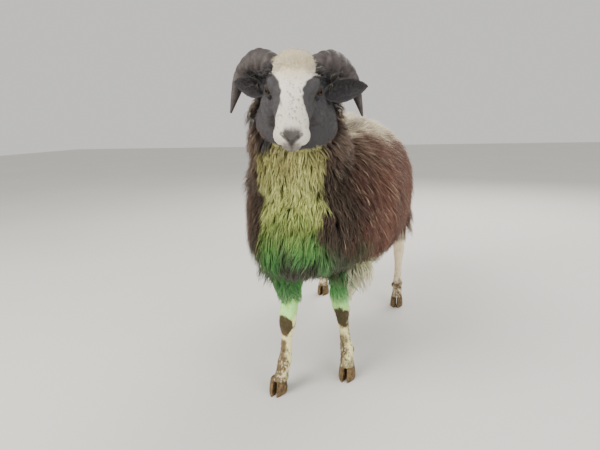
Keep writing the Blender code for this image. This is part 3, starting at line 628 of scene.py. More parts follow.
def fore_rows(side):
    """The foreleg from elbow to coronet: place, X, Y, Z, half width, half depth in front and behind."""
    foot = FORE_FOOT[side]
    top, y = 0.058, foot.y
    return (
        (0.00, 0.086, top, 0.345, 0.050, 0.050, 0.054),
        (0.16, 0.080, top + 0.1 * (y - top), 0.300, 0.043, 0.042, 0.046),
        (0.30, 0.069, top + 0.3 * (y - top), 0.262, 0.030, 0.032, 0.034),
        (0.40, 0.061, top + 0.5 * (y - top), 0.232, 0.0240, 0.0255, 0.0260),
        (0.50, 0.058, top + 0.8 * (y - top), 0.203, 0.0220, 0.0245, 0.0235),
        (0.56, 0.058, y + 0.009, 0.184, 0.0215, 0.0235, 0.0225),
        (0.62, 0.060, y + 0.011, 0.160, 0.0165, 0.0175, 0.0195),
        (0.72, 0.064, y + 0.011, 0.125, 0.0140, 0.0150, 0.0180),
        (0.80, 0.067, y + 0.012, 0.098, 0.0150, 0.0160, 0.0190),
        (0.86, 0.070, y + 0.010, 0.077, 0.0180, 0.0190, 0.0225),
        (0.93, 0.073, y - 0.001, 0.055, 0.0170, 0.0185, 0.0190),
        (1.00, 0.075, y - 0.010, CORONET, 0.0195, 0.0225, 0.0215),
    )


def hind_rows(side):
    """The hind leg from stifle to coronet: place, X, Y, Z, half width, half depth in front and behind."""
    foot = HIND_FOOT[side]
    x, y = abs(foot.x), foot.y
    return (
        (0.00, x - 0.070, y - 0.055, 0.470, 0.048, 0.066, 0.074),
        (0.14, x - 0.038, y - 0.050, 0.380, 0.058, 0.072, 0.080),
        (0.28, x - 0.022, y - 0.026, 0.322, 0.046, 0.056, 0.062),
        (0.40, x - 0.008, y + 0.012, 0.272, 0.030, 0.038, 0.038),
        (0.48, x - 0.002, y + 0.036, 0.236, 0.0205, 0.0250, 0.0260),
        (0.54, x, y + 0.044, 0.212, 0.0205, 0.0245, 0.0265),
        (0.60, x, y + 0.042, 0.188, 0.0180, 0.0220, 0.0215),
        (0.70, x, y + 0.034, 0.150, 0.0135, 0.0165, 0.0175),
        (0.80, x, y + 0.027, 0.108, 0.0140, 0.0170, 0.0185),
        (0.86, x, y + 0.021, 0.079, 0.0175, 0.0195, 0.0225),
        (0.93, x, y + 0.004, 0.055, 0.0165, 0.0185, 0.0190),
        (1.00, x, y - 0.006, CORONET, 0.0190, 0.0225, 0.0215),
    )


LEG_ROWS = {"fore": fore_rows, "hind": hind_rows}
TENDON_GROOVE = 0.0022
BODY_VOXEL = 0.0065
BODY_SOFTENING = 22


def leg(end, side, count=110, sides=36):
    """The whole leg from the trunk down to the top of its claws, with the tendon behind the cannon bone."""
    rings = []
    for row in eased(LEG_ROWS[end](side), count):
        x, y, z = row[1:4]
        half, front, back = row[4:] - FUR_DEPTH
        centre = Vector((SIDES[side] * x, y, z))
        points = ring(centre, RIGHT, FORWARD, half, front, back, sides, 2.1)
        for k, point in enumerate(points):
            around = math.tau * k / sides
            groove = math.exp(-(((math.sin(around) + 0.45) / 0.22) ** 2)) * abs(math.cos(around))
            point.x -= math.copysign(TENDON_GROOVE, point.x - centre.x) * groove * (0.09 < z < 0.17)
        rings.append(points)
    return loft("leg", rings)


def make_skin():
    """One skin over body, legs, head and ears, with the surfaces of its body and of its head."""
    body = trunk(FLEECE_DEPTH)
    tail = [(place, 0.0, y, z, half, depth) for place, y, z, half, depth in TAIL]
    parts = [column("neck", NECK, FLEECE_DEPTH, 40, 44), column("tail", tail, TAIL_DEPTH, 30, 28)]
    combined(body, "UNION", parts)
    blended(body, BODY_VOXEL, BODY_SOFTENING)
    combined(body, "UNION", [leg(end, side) for end in FOOT for side in SIDES])
    body_tree = surface_tree(body)
    head = combined(make_head(), "UNION", [ear(side) for side in SIDES])
    head_tree = surface_tree(head)
    combined(body, "UNION", [head])
    mesh = bmesh.new()
    mesh.from_mesh(body.data)
    bmesh.ops.triangulate(mesh, faces=mesh.faces)
    mesh.to_mesh(body.data)
    mesh.free()
    return smoothed(body), body_tree, head_tree


# Markings: where each colour of the coat lies


def linear(code):
    """A linear colour from an sRGB hex value."""
    parts = [int(code[i : i + 2], 16) / 255 for i in (1, 3, 5)]
    return tuple(c / 12.92 if c <= 0.04045 else ((c + 0.055) / 1.055) ** 2.4 for c in parts)


def hues(places, codes, values):
    """Linear colours read along a ramp of hex colours at rising places."""
    table = np.array([linear(code) for code in codes])
    return np.column_stack([np.interp(values, places, table[:, k]) for k in range(3)])


def soft(value, width):
    """0 below zero and 1 above it, over a band of the given width."""
    t = np.clip(value / width + 0.5, 0, 1)
    return t * t * (3 - 2 * t)


def wobble(points, size, seed=0):
    """Smooth unevenness between -1 and 1, with bumps of about the given size."""
    chance = np.random.default_rng(seed + 100)
    total = np.zeros(len(points))
    for _ in range(12):
        way = chance.normal(size=3)
        way *= chance.uniform(0.6, 1.6) / np.linalg.norm(way)
        total += np.sin(points @ way * math.pi / size + chance.uniform(0, math.tau))
    return np.clip(total / 3.7, -1, 1)


def on_head(points):
    place = np.array(head_place().inverted())
    return points @ place[:3, :3].T + place[:3, 3]


def touching(points, tree):
    """Whether each place lies on this surface."""
    near = np.zeros(len(points), dtype=bool)
    for i, place in enumerate(points):
        near[i] = place[2] > LOWEST_JAW and tree.find_nearest(place, 4 * TOUCH)[0] is not None
    for i in np.flatnonzero(near):
        near[i] = tree.find_nearest(points[i])[3] < TOUCH
    return near


def head_zone(points, head_tree):
    """Whether each place lies on the head, or on the neck where it shows beside the jaw."""
    axes = on_head(points)
    beside = (axes[:, 1] < BEHIND_CHEEK) & (axes[:, 2] > UNDER_CHEEK) & (points[:, 2] > LOWEST_JAW)
    return beside | touching(points, head_tree)


# Edges of the white blaze: place along the face, and where it ends on the right and on the left
BLAZE = (
    (-0.150, -0.060, 0.060),
    (-0.098, -0.044, 0.042),
    (-0.084, -0.034, 0.030),
    (-0.072, -0.028, 0.024),
    (-0.060, -0.0245, 0.0190),
    (-0.030, -0.0235, 0.0180),
    (-0.010, -0.028, 0.024),
    (0.003, -0.035, 0.034),
    (0.025, -0.046, 0.048),
    (0.045, -0.056, 0.060),
    (0.060, -0.060, 0.062),
    (0.120, -0.040, 0.040),
)


class Paint:
    """Two colours for each place on the coat: at the root and at the tip of its hair. The darker root colour
    is painted shade deep in the coat; the brown wool's paler tips are also bleached by the sun.
    """

    def __init__(self, count, root, tip):
        self.root = np.tile(linear(root), (count, 1))
        self.tip = np.tile(linear(tip), (count, 1))

    def over(self, share, root, tip):
        share = share[:, None]
        root = np.array(linear(root)) if isinstance(root, str) else root
        tip = np.array(linear(tip)) if isinstance(tip, str) else tip
        self.root = self.root * (1 - share) + root * share
        self.tip = self.tip * (1 - share) + tip * share


def fleece_colours(points):
    """The fleece: cream, with dark brown patches, marking paint on the chest and forearms, and painted shade
    under the chin and between the forelegs.
    """
    x, y, z = points.T
    rough = wobble(points, 0.030)
    broad = wobble(points, 0.11, 3)
    paint = Paint(len(points), "#a8957a", "#faeacb")
    top_edge = 0.635 - 0.04 * np.clip(y - 0.10, 0, 1) + 0.010 * rough
    saddle_front = 0.085 - 0.055 * np.clip(x / 0.05, -1, 1)
    saddle = soft(z - top_edge, 0.020) * soft(y - saddle_front - 0.01 * rough, 0.03)
    shoulder = soft(0.20 + 0.03 * broad - y, 0.03)
    flank = soft(x + 0.02, 0.04) * soft(0.60 + 0.05 * broad + 0.02 * rough - y, 0.03)
    flank *= soft(z - 0.295 - 0.02 * rough, 0.03)
    right_hip = ((y - 0.53) / 0.12) ** 2 + ((z - 0.49) / 0.12) ** 2
    hip = soft(1 + 0.25 * rough - right_hip, 0.2) * (x < 0.0)
    brown = np.maximum.reduce([shoulder, flank, hip]) * (1 - saddle)
    under = saddle * soft(0.45 - y, 0.15)
    paint.over(under, "#80684f", "#fff1cc")
    warm = (0.5 + 0.5 * broad)[:, None]
    brown_tip = np.array(linear("#613c30")) * (1 - warm) + np.array(linear("#875844")) * warm
    brown_tip *= (0.62 + 0.38 * soft(z - 0.38, 0.12))[:, None]
    paint.over(brown, "#38231b", brown_tip)
    paint.over(brown * soft(z - 0.600, 0.10) * soft(0.080 - y, 0.12), "#3a2a23", "#75604f")
    streak = soft(0.005 - np.abs(z - 0.652 - 0.05 * (y - 0.13)), 0.008)
    streak *= soft(y - 0.06, 0.02) * soft(0.28 - y, 0.03)
    paint.over(streak * soft(x - 0.04, 0.02) * 0.7, "#241916", "#4a3228")
    dark = soft(0.122 + 0.012 * rough - np.abs(x + 0.005), 0.03) * soft(-0.020 - y, 0.05)
    dark = np.maximum(dark, 0.8 * soft(-0.05 - x, 0.03) * soft(0.10 - y, 0.06))
    paint.over(dark * soft(0.615 - z, 0.06) * 0.90, "#1d160e", "#463725")
    belly = soft(0.305 + 0.015 * rough - z, 0.03) * soft(y - 0.14, 0.04)
    paint.over(belly, "#a2937a", "#e0d4bd")
    outer = soft(x - 0.088, 0.016)
    forearm = soft(0.340 + 0.018 * outer + 0.010 * rough - z, 0.02) * soft(0.19 - y, 0.03)
    codes = ("#c4f5b0", "#a0dd90", "#68b65e", "#4f9a4e", "#3f8142")
    greens = hues((0.225, 0.245, 0.275, 0.310, 0.345), codes, z)
    # The darker green at the roots is painted shade deep in the wool
    paint.over(forearm, greens * 0.7, greens)
    paint.over(forearm * outer, "#c4c795", "#fff6d6")
    bib_top = 0.640 + 0.05 * x + 0.005 * rough
    throat = soft(z - bib_top, 0.012) * soft(0.066 - np.abs(x), 0.02) * soft(-0.020 - y, 0.04)
    paint.over(throat, "#232023", "#3d3a3c")
    bib_half = 0.054 + 0.010 * soft(z - 0.60, 0.04)
    bib_half += 0.006 * soft(0.52 - z, 0.05) + 0.016 * soft(0.43 - z, 0.05)
    bib_side = bib_half + 0.006 * rough - np.abs(x + 0.006)
    bib = soft(bib_side, 0.014) * soft(-0.030 - y, 0.03) * soft(bib_top - z, 0.012)
    # The marking paint on the bib by height, from dark green low to olive at the top; the darker olive at the
    # top, under the chin, is painted shade
    codes = ("#2f7a3a", "#55a04b", "#6b9d4a", "#93a852", "#c2ca72", "#c9cd7e", "#b0aa66", "#8f8855")
    painted = hues((0.345, 0.395, 0.440, 0.475, 0.52, 0.57, 0.625, 0.65), codes, z + 0.012 * rough)
    # The darker colour at the roots is painted shade deep in the wool
    paint.over(bib, painted * 0.74, painted)
    smear = soft(0.425 + 0.02 * rough - z, 0.03) * soft(0.02 - y, 0.05) * 0.55
    paint.over(smear, "#1f3a20", "#3c5c34")
    # Painted shade: near black low on the chest, between the forelegs
    between = soft(0.398 + 0.010 * rough - z, 0.02) * soft(z - 0.305, 0.01)
    between *= soft(0.045 - np.abs(x - 0.004), 0.02) * soft(0.12 - y, 0.05)
    paint.over(between * 0.9, "#17130d", "#3a3222")
    return paint


def leg_colours(points, paint):
    """The bare lower legs: white, with brown knees, mud, dark flecks, and brown down one side that is partly
    painted shade.
    """
    x, y, z = points.T
    rough = wobble(points, 0.014, 7)
    fine = wobble(points, 0.005, 9)
    fore = y < 0.40
    low = z < np.where(fore, FLEECE_END["fore"], FLEECE_END["hind"])
    paint.over(low * 1.0, "#f2dfb8", "#fdecc8")
    paint.over(low * fore, "#fbf0a8", "#fff8b6")
    mint = soft(z - 0.200 - 0.006 * rough, 0.022) * fore * low
    paint.over(mint, "#9fe876", "#c6ff98")
    for side, sign in SIDES.items():
        foot = FORE_FOOT[side]
        middle, reach = (0.172, 0.036) if sign > 0 else (0.183, 0.029)
        round_knee = ((x - sign * 0.060) / 0.021) ** 2 + ((z - middle) / reach) ** 2
        knee = soft(1.0 + 0.35 * rough - round_knee, 0.25) * soft(foot.y + 0.012 - y, 0.012)
        paint.over(knee * fore * low * (x * sign > 0), "#30270f", "#4d411d")
    # Brown down the -X side of each foreleg and low on the right hind leg, partly dirt and partly painted
    # shade; every foot is also muddy below about 62 mm
    shaded = np.where(fore, np.where(x > 0, 0.075, -0.060) - x, 0.004)
    top = np.where(fore, 0.148, 0.085)
    stain_and_side_shade = soft(shaded + 0.005 * rough + 0.003 * fine, 0.010) * soft(top + 0.03 * rough - z, 0.05) * low
    stain_and_side_shade = np.maximum(stain_and_side_shade, 0.75 * soft(0.062 + 0.014 * rough + 0.008 * fine - z, 0.02) * low)
    paint.over(stain_and_side_shade * 0.95, "#3d2f19", "#6f5733")
    fleck = soft(fine + 0.5 * rough - 0.70, 0.2) * low * soft(0.12 - z, 0.05)
    paint.over(fleck * 0.8, "#3b2c1d", "#5a4327")
    specks = soft(wobble(points, 0.0035, 15) + 0.3 * fine - 0.75, 0.2) * low * soft(0.105 - z, 0.04)
    paint.over(specks * 0.8, "#d9cba6", "#f3e8c6")


def head_colours(points, head, paint):
    """The head: black, with a white blaze and muzzle, a cream forehead, a grey nose, and painted shade along
    the mouth's crease and in the nostrils.
    """
    axes = on_head(points)
    across, along, out = axes.T
    rough = wobble(points, 0.008, 11)
    fine = wobble(points, 0.0035, 13)
    rows = np.array(BLAZE)
    right = np.interp(along, rows[:, 0], rows[:, 1]) + 0.0012 * rough
    left = np.interp(along, rows[:, 0], rows[:, 2]) + 0.0012 * rough
    paint.over(head, "#252326", "#403d3f")
    lowest = np.interp(along, (0.0, 0.030, 0.060), (-0.040, -0.006, 0.000))
    front = np.maximum(soft(out - lowest, 0.01), soft(-0.100 - along, 0.012))
    blaze = soft(left - across, 0.004) * soft(across - right, 0.004) * front * head
    codes = ("#d9d2c3", "#e6dfd1", "#f0eadd", "#eae0cb", "#e8dec8")
    white = hues((-0.11, -0.06, -0.02, 0.03, 0.08), codes, along)
    # The darker white at the roots is painted shade deep in the fur
    paint.over(blaze, white * 0.85, white)
    cream = soft(1 - (across / 0.036) ** 2 - ((along - 0.052) / 0.060) ** 2, 1.0) * head
    paint.over(cream * 0.65, "#cbb98d", "#dfd0a8")
    jaw = soft(-0.085 - along, 0.012) * soft(-0.040 - out, 0.006) * head
    paint.over(jaw, "#6f6860", "#a09990")
    fleck = soft(fine + 0.6 * rough - 0.95, 0.15) * soft(0.0 - along, 0.03) * soft(along + 0.112, 0.02)
    paint.over(fleck * blaze * 0.7, "#5b5450", "#7d7570")
    lip = soft(0.017 - np.abs(across), 0.010) * soft(-0.020 - out, 0.008) * soft(-0.115 - along, 0.010)
    paint.over(lip * head * 0.85, "#57514d", "#7c756f")
    heart = np.interp(out, (-0.034, -0.022, -0.012, -0.004, 0.004), (0.001, 0.006, 0.015, 0.019, 0.016))
    nose = soft(heart + 0.0015 * rough - np.abs(across - 0.0005), 0.010)
    nose *= soft(-0.1185 - along - 0.0012 * fine, 0.016)
    paint.over(nose * head * 0.94, "#161312", "#2b2625")
    folded = np.column_stack([np.abs(across), along, out])
    mouth = np.minimum(distance_to_line(folded, LIPS_FRONT), distance_to_line(folded, LIPS_SIDE))
    # Painted shade in the crease between the lips
    paint.over(soft(0.0026 - mouth, 0.002) * head * 0.85, "#3b3230", "#574c48")
    hole = distance_to_line(folded, NOSTRIL)
    # Painted shade in the nostrils' openings
    paint.over(soft(0.0026 - hole, 0.0018) * head, "#171313", "#231e1e")
    for sign in SIDES.values():
        away = np.linalg.norm(axes - np.array(eye_centre(sign)), axis=1)
        paint.over(soft(EYE_RADIUS + 0.0048 - away, 0.003) * head, "#161517", "#242224")


def coat_colours(points, head):
    paint = fleece_colours(points)
    leg_colours(points, paint)
    head_colours(points, head * 1.0, paint)
    return paint


# The lie of the coat


def coat_lie(points, ways, head):
    """The way the hair lies: back along the spine, down the sides and in front, and off the nose."""
    x, y, z = points.T
    across = np.clip(x / 0.12, -1, 1)
    top = np.clip(ways[:, 2], 0, 1)
    front = np.clip(-ways[:, 1], 0, 1)
    back = np.clip(ways[:, 1], 0, 1)
    fan = 0.35 - 0.35 * np.sqrt(front)
    down = np.column_stack([fan * across, 0.50 - 0.75 * front - 0.4 * back, -0.85 * np.ones(len(points))])
    over = np.column_stack([0.55 * across, 0.80 * np.ones(len(points)), -0.15 * np.ones(len(points))])
    share = (top**3 * soft(z - 0.54, 0.06))[:, None]
    lie = down * (1 - share) + over * share
    turned = np.array(head_place())[:3, :3]
    axes = on_head(points)
    outward = np.clip(axes[:, 0] / 0.03, -1, 1)
    crown = soft(axes[:, 1] - 0.010, 0.03)
    spread = (0.35 + 0.95 * crown * soft(np.abs(axes[:, 0]) - 0.018, 0.02)) * outward
    face = np.column_stack([spread, 0.9 - 0.35 * crown, -0.25 + 0.45 * crown])
    lie = np.where(head[:, None], face @ turned.T, lie)
    lie += 0.16 * np.column_stack([wobble(points, 0.05, seed) for seed in (20, 21, 22)])
    lie -= ways * (lie * ways).sum(axis=1)[:, None]
    return lie / np.linalg.norm(lie, axis=1)[:, None]


# The coat's own places on a flat sheet: for each part of the body a patch, from its left and low corner,
# with its width and height
SHEETS = {
    "trunk": (0.01, 0.01, 0.60, 0.60),
    "neck": (0.63, 0.01, 0.36, 0.30),
    "head": (0.63, 0.33, 0.36, 0.36),
    "tail": (0.01, 0.63, 0.14, 0.36),
    "fore_left": (0.17, 0.63, 0.10, 0.36),
    "fore_right": (0.29, 0.63, 0.10, 0.36),
    "hind_left": (0.41, 0.63, 0.10, 0.36),
    "hind_right": (0.53, 0.63, 0.10, 0.36),
    "ear_left": (0.66, 0.71, 0.15, 0.28),
    "ear_right": (0.83, 0.71, 0.15, 0.28),
}
PATCH = 0.003
# How far out to the side of the head its ears begin
EAR_FROM = 0.068


def sheet_places(points, head):
    """Each place on the unrolled skin, as a turn round its part of the body and a share along it."""
    x, y, z = points.T
    across, back, out = on_head(points).T
    part = np.full(len(points), "trunk", dtype="U10")
    spots = np.zeros((len(points), 2))

    def unroll(here, name, sideways, ahead, along):
        part[here] = name
        turn = np.arctan2(sideways, ahead) / math.tau + 0.5
        left, low, wide, high = SHEETS[name]
        places = np.column_stack([left + wide * np.clip(turn, 0, 1), low + high * np.clip(along, 0, 1)])
        spots[here] = places[here]

    unroll(part == "trunk", "trunk", x, z - 0.45, (y + 0.14) / 0.95)
    unroll((z + 0.8 * (y + 0.02) > 0.58) & (y < 0.14) & (z > 0.45), "neck", x, y + 0.02, (z - 0.45) / 0.36)
    unroll((y > 0.765) & (np.abs(x) < 0.06), "tail", x, y - 0.79, (z - 0.30) / 0.35)
    for end, top, near, far in (("fore", 0.315, -9.0, 0.20), ("hind", 0.36, 0.45, 9.0)):
        for side, sign in SIDES.items():
            foot = FOOT[end][side]
            here = (z < top) & (x * sign > 0) & (y > near) & (y < far) & (part == "trunk")
            unroll(here, f"{end}_{side}", x - foot.x * 0.9, y - foot.y, z / 0.37)
    unroll(head, "head", across, out + 0.02, (back + 0.145) / 0.25)
    for side, sign in SIDES.items():
        here = head & (across * sign > EAR_FROM)
        unroll(here, "ear_" + side, out, back - 0.04, (np.abs(across) - 0.06) / 0.11)
    return spots


# Tufts of hair, as many thin solid wedges in one mesh


def skin_faces(skin):
    """The corners of each of the skin's triangles, their ways out and their sizes."""
    mesh = skin.data
    points, _ = corners_of(skin)
    mesh.calc_loop_triangles()
    faces = np.empty(len(mesh.loop_triangles) * 3, dtype=np.int32)
    mesh.loop_triangles.foreach_get("vertices", faces)
    corners = points[faces.reshape(-1, 3)]
    across = np.cross(corners[:, 1] - corners[:, 0], corners[:, 2] - corners[:, 0])
    area = np.linalg.norm(across, axis=1)
    return corners, across / np.maximum(area, 1e-12)[:, None], area


def skin_roots(faces, share, chance, count):
    """Places spread over the skin, with its ways out: share gives how thickly each triangle is covered."""
    corners, ways, area = faces
    weight = area * share
    picked = chance.choice(len(area), count, p=weight / weight.sum())
    share = chance.random((2, count, 1))
    share = np.where(share.sum(axis=0) > 1, 1 - share, share)
    first = corners[picked, 0]
    roots = first + share[0] * (corners[picked, 1] - first) + share[1] * (corners[picked, 2] - first)
    return roots, ways[picked]


def clump_pull(roots, chance, room):
    """From each root to the middle of the lock that its hair belongs to."""
    count = max(1, int(len(roots) / room))
    middles = chance.choice(len(roots), count, replace=False)
    tree = KDTree(count)
    for k, index in enumerate(middles):
        tree.insert(roots[index], k)
    tree.balance()
    nearest = np.array([tree.find(root)[1] for root in roots])
    return roots[middles[nearest]] - roots, nearest


def unit(rows):
    return rows / np.maximum(np.linalg.norm(rows, axis=1), 1e-9)[:, None]


def standing(roots, ways):
    """How much the wool stands up: most along the back, from the withers to the loin."""
    return soft(ways[:, 2] - 0.70, 0.3) * soft(roots[:, 1] - 0.09, 0.06) * soft(0.36 - roots[:, 1], 0.20)


def lower_right(points):
    """Where the breast's wool hangs out furthest: low on the right, and in the fold behind the neck."""
    x, y, z = points.T
    low = soft(0.45 - z, 0.08) * soft(z - 0.345, 0.04) * soft(-0.060 - x, 0.05) * soft(0.16 - y, 0.08)
    fold = 0.6 * np.exp(-(((z - 0.590) / 0.045) ** 2)) * soft(-0.060 - x, 0.04) * soft(0.14 - y, 0.06)
    return np.maximum(low, fold)


def shortness(points, kind):
    """The share of its full length that hair has: less on the throat and brow, more over the horns."""
    x, y, z = points.T
    if kind["on_head"]:
        axes = on_head(points)
        brow = 0.30 + 0.70 * soft(axes[:, 1] - 0.038, 0.05)
        beside = soft(np.abs(axes[:, 0]) - 0.024, 0.016) * soft(axes[:, 1] - 0.018, 0.016)
        return brow * (1 + kind["beside"] * beside)
    front = soft(0.03 - y, 0.10) * (1 - lower_right(points))
    throat = soft(z - 0.605, 0.07) * soft(0.08 - y, 0.08) * soft(0.085 - np.abs(x - 0.006), 0.03)
    return (1 - 0.38 * front) * (1 - 0.45 * throat)


def tuft_paths(tree, roots, ways, lies, kind, chance):
    """Stations along each tuft's middle line, from its root under the skin to its tip."""
    count = len(roots)
    short = shortness(roots, kind)
    length = kind["length"] * chance.uniform(0.72, 1.22, count) * short
    pull, lock = clump_pull(roots, chance, kind["clump"])
    lock_length = chance.uniform(0.80, 1.20, lock.max() + 1)[lock]
    lock_sway = chance.normal(0, kind["sway"], lock.max() + 1)[lock]
    length = length * lock_length
    side = np.cross(lies, ways)
    lie = unit(lies + side * (lock_sway + chance.normal(0, 0.4 * kind["sway"], count))[:, None])
    stations = [roots - ways * kind["sunk"]]
    levels = kind["levels"]
    for k in range(1, levels + 1):
        share = k / levels
        free = roots + lie * (length * share)[:, None] + pull * (kind["pull"] * share**1.3 * short)[:, None]
        free += side * (np.sin(share * kind["crimp"] + lock) * kind["wave"])[:, None]
        height = kind["rise"] * (share**kind["lift"]) * chance.uniform(0.85, 1.15, count) * lock_length
        height = height * (1 + kind["stand"] * standing(roots, ways)) * np.minimum(1, 0.55 + 0.7 * short)
        if not kind["on_head"]:
            height = height * (1 + 0.6 * lower_right(roots))
        laid_on = np.empty((count, 3))
        out = np.empty((count, 3))
        for i, place in enumerate(free):
            found, way, _, _ = tree.find_nearest(place)
            laid_on[i] = found
            out[i] = way
        hang = (kind["hang"] * share * np.clip(-lie[:, 2], 0, 1))[:, None]
        step = laid_on * (1 - hang) + free * hang + out * height[:, None] - stations[-1]
        longest = 1.35 * length / levels + kind["rise"] * 0.8
        kept = np.minimum(1, longest / np.linalg.norm(step, axis=1))
        stations.append(stations[-1] + step * kept[:, None])
    return np.stack(stations, axis=1), side


def tuft_mesh(name, paths, sides, ways, sheet, root, tip, kind, chance):
    """Thin three-sided wedges along the paths, with their colours and their places on the flat sheet."""
    count, stations, _ = paths.shape
    rings = stations - 1
    along = np.linspace(0, 1, stations)[:-1]
    profile = np.interp(along, (0.0, 0.25, 0.7, 1.0), (0.75, 1.0, 0.62, 0.1))
    width = kind["width"] / 2 * chance.uniform(0.75, 1.25, count)
    half = width[:, None] * profile[None, :]
    across = sides[:, None, :] * half[..., None]
    ridge = ways[:, None, :] * (half * kind["thick"])[..., None]
    middle = paths[:, :-1]
    section = np.stack([middle - across, middle + across, middle + ridge], axis=2)
    corners = np.concatenate([section.reshape(count, rings * 3, 3), paths[:, -1:, :]], axis=1)
    each = rings * 3 + 1
    base = np.arange(count)[:, None] * each
    quads = []
    for r in range(rings - 1):
        for k in range(3):
            near, following = 3 * r + k, 3 * r + (k + 1) % 3
            quads.append((near, following, following + 3, near + 3))
    tris = [(2, 1, 0)] + [(3 * rings - 3 + k, 3 * rings - 3 + (k + 1) % 3, 3 * rings) for k in range(3)]
    quad_loops = (base[:, :, None] + np.array(quads)[None]).reshape(-1)
    tri_loops = (base[:, :, None] + np.array(tris)[None]).reshape(-1)
    loops = np.concatenate([quad_loops, tri_loops])
    faces = count * (len(quads) + len(tris))
    tri_starts = len(quad_loops) + np.arange(count * len(tris)) * 3
    starts = np.concatenate([np.arange(count * len(quads)) * 4, tri_starts])
    mesh = bpy.data.meshes.new(name)
    mesh.vertices.add(count * each)
    mesh.vertices.foreach_set("co", corners.astype(np.float32).ravel())
    mesh.loops.add(len(loops))
    mesh.loops.foreach_set("vertex_index", loops.astype(np.int32))
    mesh.polygons.add(faces)
    mesh.polygons.foreach_set("loop_start", starts.astype(np.int32))
    mesh.update(calc_edges=True)
    mesh.validate()
    share = np.append(np.repeat(along, 3), 1.0)
    # Each tuft runs from its darker root colour, painted shade deep in the coat, to its tip colour
    blend = (share ** kind["tip_from"])[None, :, None]
    shade = chance.normal(1.0, kind["uneven"], count)[:, None, None]
    bleached = (chance.random(count) < kind["pale_share"])[:, None, None] * 0.35 * blend
    colour = root[:, None, :] * (1 - blend) + tip[:, None, :] * blend
    colour = colour * np.clip(shade, 0.4, 1.8)
    colour = colour * (1 - bleached) + np.array(linear(BLEACHED)) * bleached
    keep_colours(mesh, "hair_colour", np.clip(colour, 0, 1).reshape(-1, 3))
    spot = np.column_stack([np.append(np.tile((-0.5, 0.5, 0.0), rings), 0.0), share - 0.5]) * PATCH
    spots = (sheet[:, None, :] + spot[None]).reshape(-1, 2)
    unwrap = mesh.uv_layers.new(name="OFBake")
    unwrap.data.foreach_set("uv", spots[loops].astype(np.float32).ravel())
    thing = bpy.data.objects.new(name, mesh)
    bpy.context.scene.collection.objects.link(thing)
    return thing


# The tips of the few locks that the sun has bleached
BLEACHED = "#d8c3a0"
# Kinds of hair: its length, width and height, how it gathers into locks, and how its colour varies
LONG_WOOL = {
    "length": 0.060, "width": 0.0027, "thick": 0.55, "rise": 0.028, "lift": 0.62, "sunk": 0.002,
    "levels": 3, "clump": 10, "pull": 0.40, "sway": 0.14, "hang": 0.30, "crimp": 7.0, "wave": 0.0010,
    "tip_from": 0.7, "uneven": 0.14, "pale_share": 0.04, "stand": 0.5, "beside": 0.0, "flat": 0.0,
    "on_head": False,
}
LEG_WOOL = {**LONG_WOOL, "length": 0.032, "width": 0.0024, "rise": 0.007, "hang": 0.4, "stand": 0.0}
CROWN_HAIR = {
    **LONG_WOOL, "length": 0.016, "width": 0.0012, "rise": 0.0046, "clump": 8, "pull": 0.35, "stand": 0.0,
    "sway": 0.30, "hang": 0.0, "wave": 0.0004, "uneven": 0.12, "pale_share": 0.0, "beside": 0.45,
    "on_head": True,
}
POLL_WOOL = {**LEG_WOOL, "length": 0.034, "rise": 0.011, "hang": 0.0, "on_head": True}
FACE_FUR = {
    **CROWN_HAIR, "length": 0.0080, "width": 0.0009, "rise": 0.0013, "sway": 0.18, "clump": 5,
    "sunk": 0.0006, "levels": 2, "beside": 0.0, "flat": 0.7, "uneven": 0.07,
}
LEG_FUR = {**FACE_FUR, "length": 0.0090, "width": 0.0013, "rise": 0.0016, "on_head": False}
EAR_TUFT = {**POLL_WOOL, "length": 0.024, "width": 0.0021, "rise": 0.017, "clump": 5, "sway": 0.3}
EAR_FUR = {**FACE_FUR, "length": 0.0085, "width": 0.0011, "rise": 0.0018}
# How many triangles one piece of the coat may have
MOST_TRIANGLES = 190000


def grow(tree, name, kind, roots, ways, chance):
    """One kind of hair on the given roots, as pieces that each stay below the limit of triangles."""
    triangles_each = 6 * kind["levels"] - 2
    parts = math.ceil(len(roots) / (MOST_TRIANGLES // triangles_each))
    order = np.argsort(roots[:, 1] + 0.3 * roots[:, 0], kind="stable")
    roots, ways = roots[order], ways[order]
    head = np.full(len(roots), kind["on_head"])
    paths, sides = tuft_paths(tree, roots, ways, coat_lie(roots, ways, head), kind, chance)
    paint = coat_colours(roots, head)
    flank = soft(roots[:, 0] - 0.10, 0.04) * soft(roots[:, 2] - 0.46, 0.06) * (roots[:, 1] < 0.55)
    pale = chance.random(len(roots)) < 0.05 * flank * (kind is LONG_WOOL)
    paint.over(pale * 0.8, "#6b5342", "#d9bf9c")
    if kind is EAR_TUFT:
        paint.over(np.ones(len(roots)), "#1d1b1c", "#383435")
    paint.root += (paint.tip - paint.root) * kind["flat"]
    rows = (paths, sides, ways, sheet_places(roots, head), paint.root, paint.tip)
    parts_of = [np.array_split(row, parts) for row in rows]
    return [tuft_mesh(f"{name}_{k + 1}", *part, kind, chance) for k, part in enumerate(zip(*parts_of))]


def woolly(points):
    """How much long wool grows at each place of the body, from 0 on the lower legs to 1."""
    x, y, z = points.T
    end = np.where(y < 0.45, FLEECE_END["fore"], FLEECE_END["hind"])
    return soft(z - end, 0.006)


def on_leg(points):
    x, y, z = points.T
    return (z < 0.325) & ((y < 0.20) | (y > 0.50))


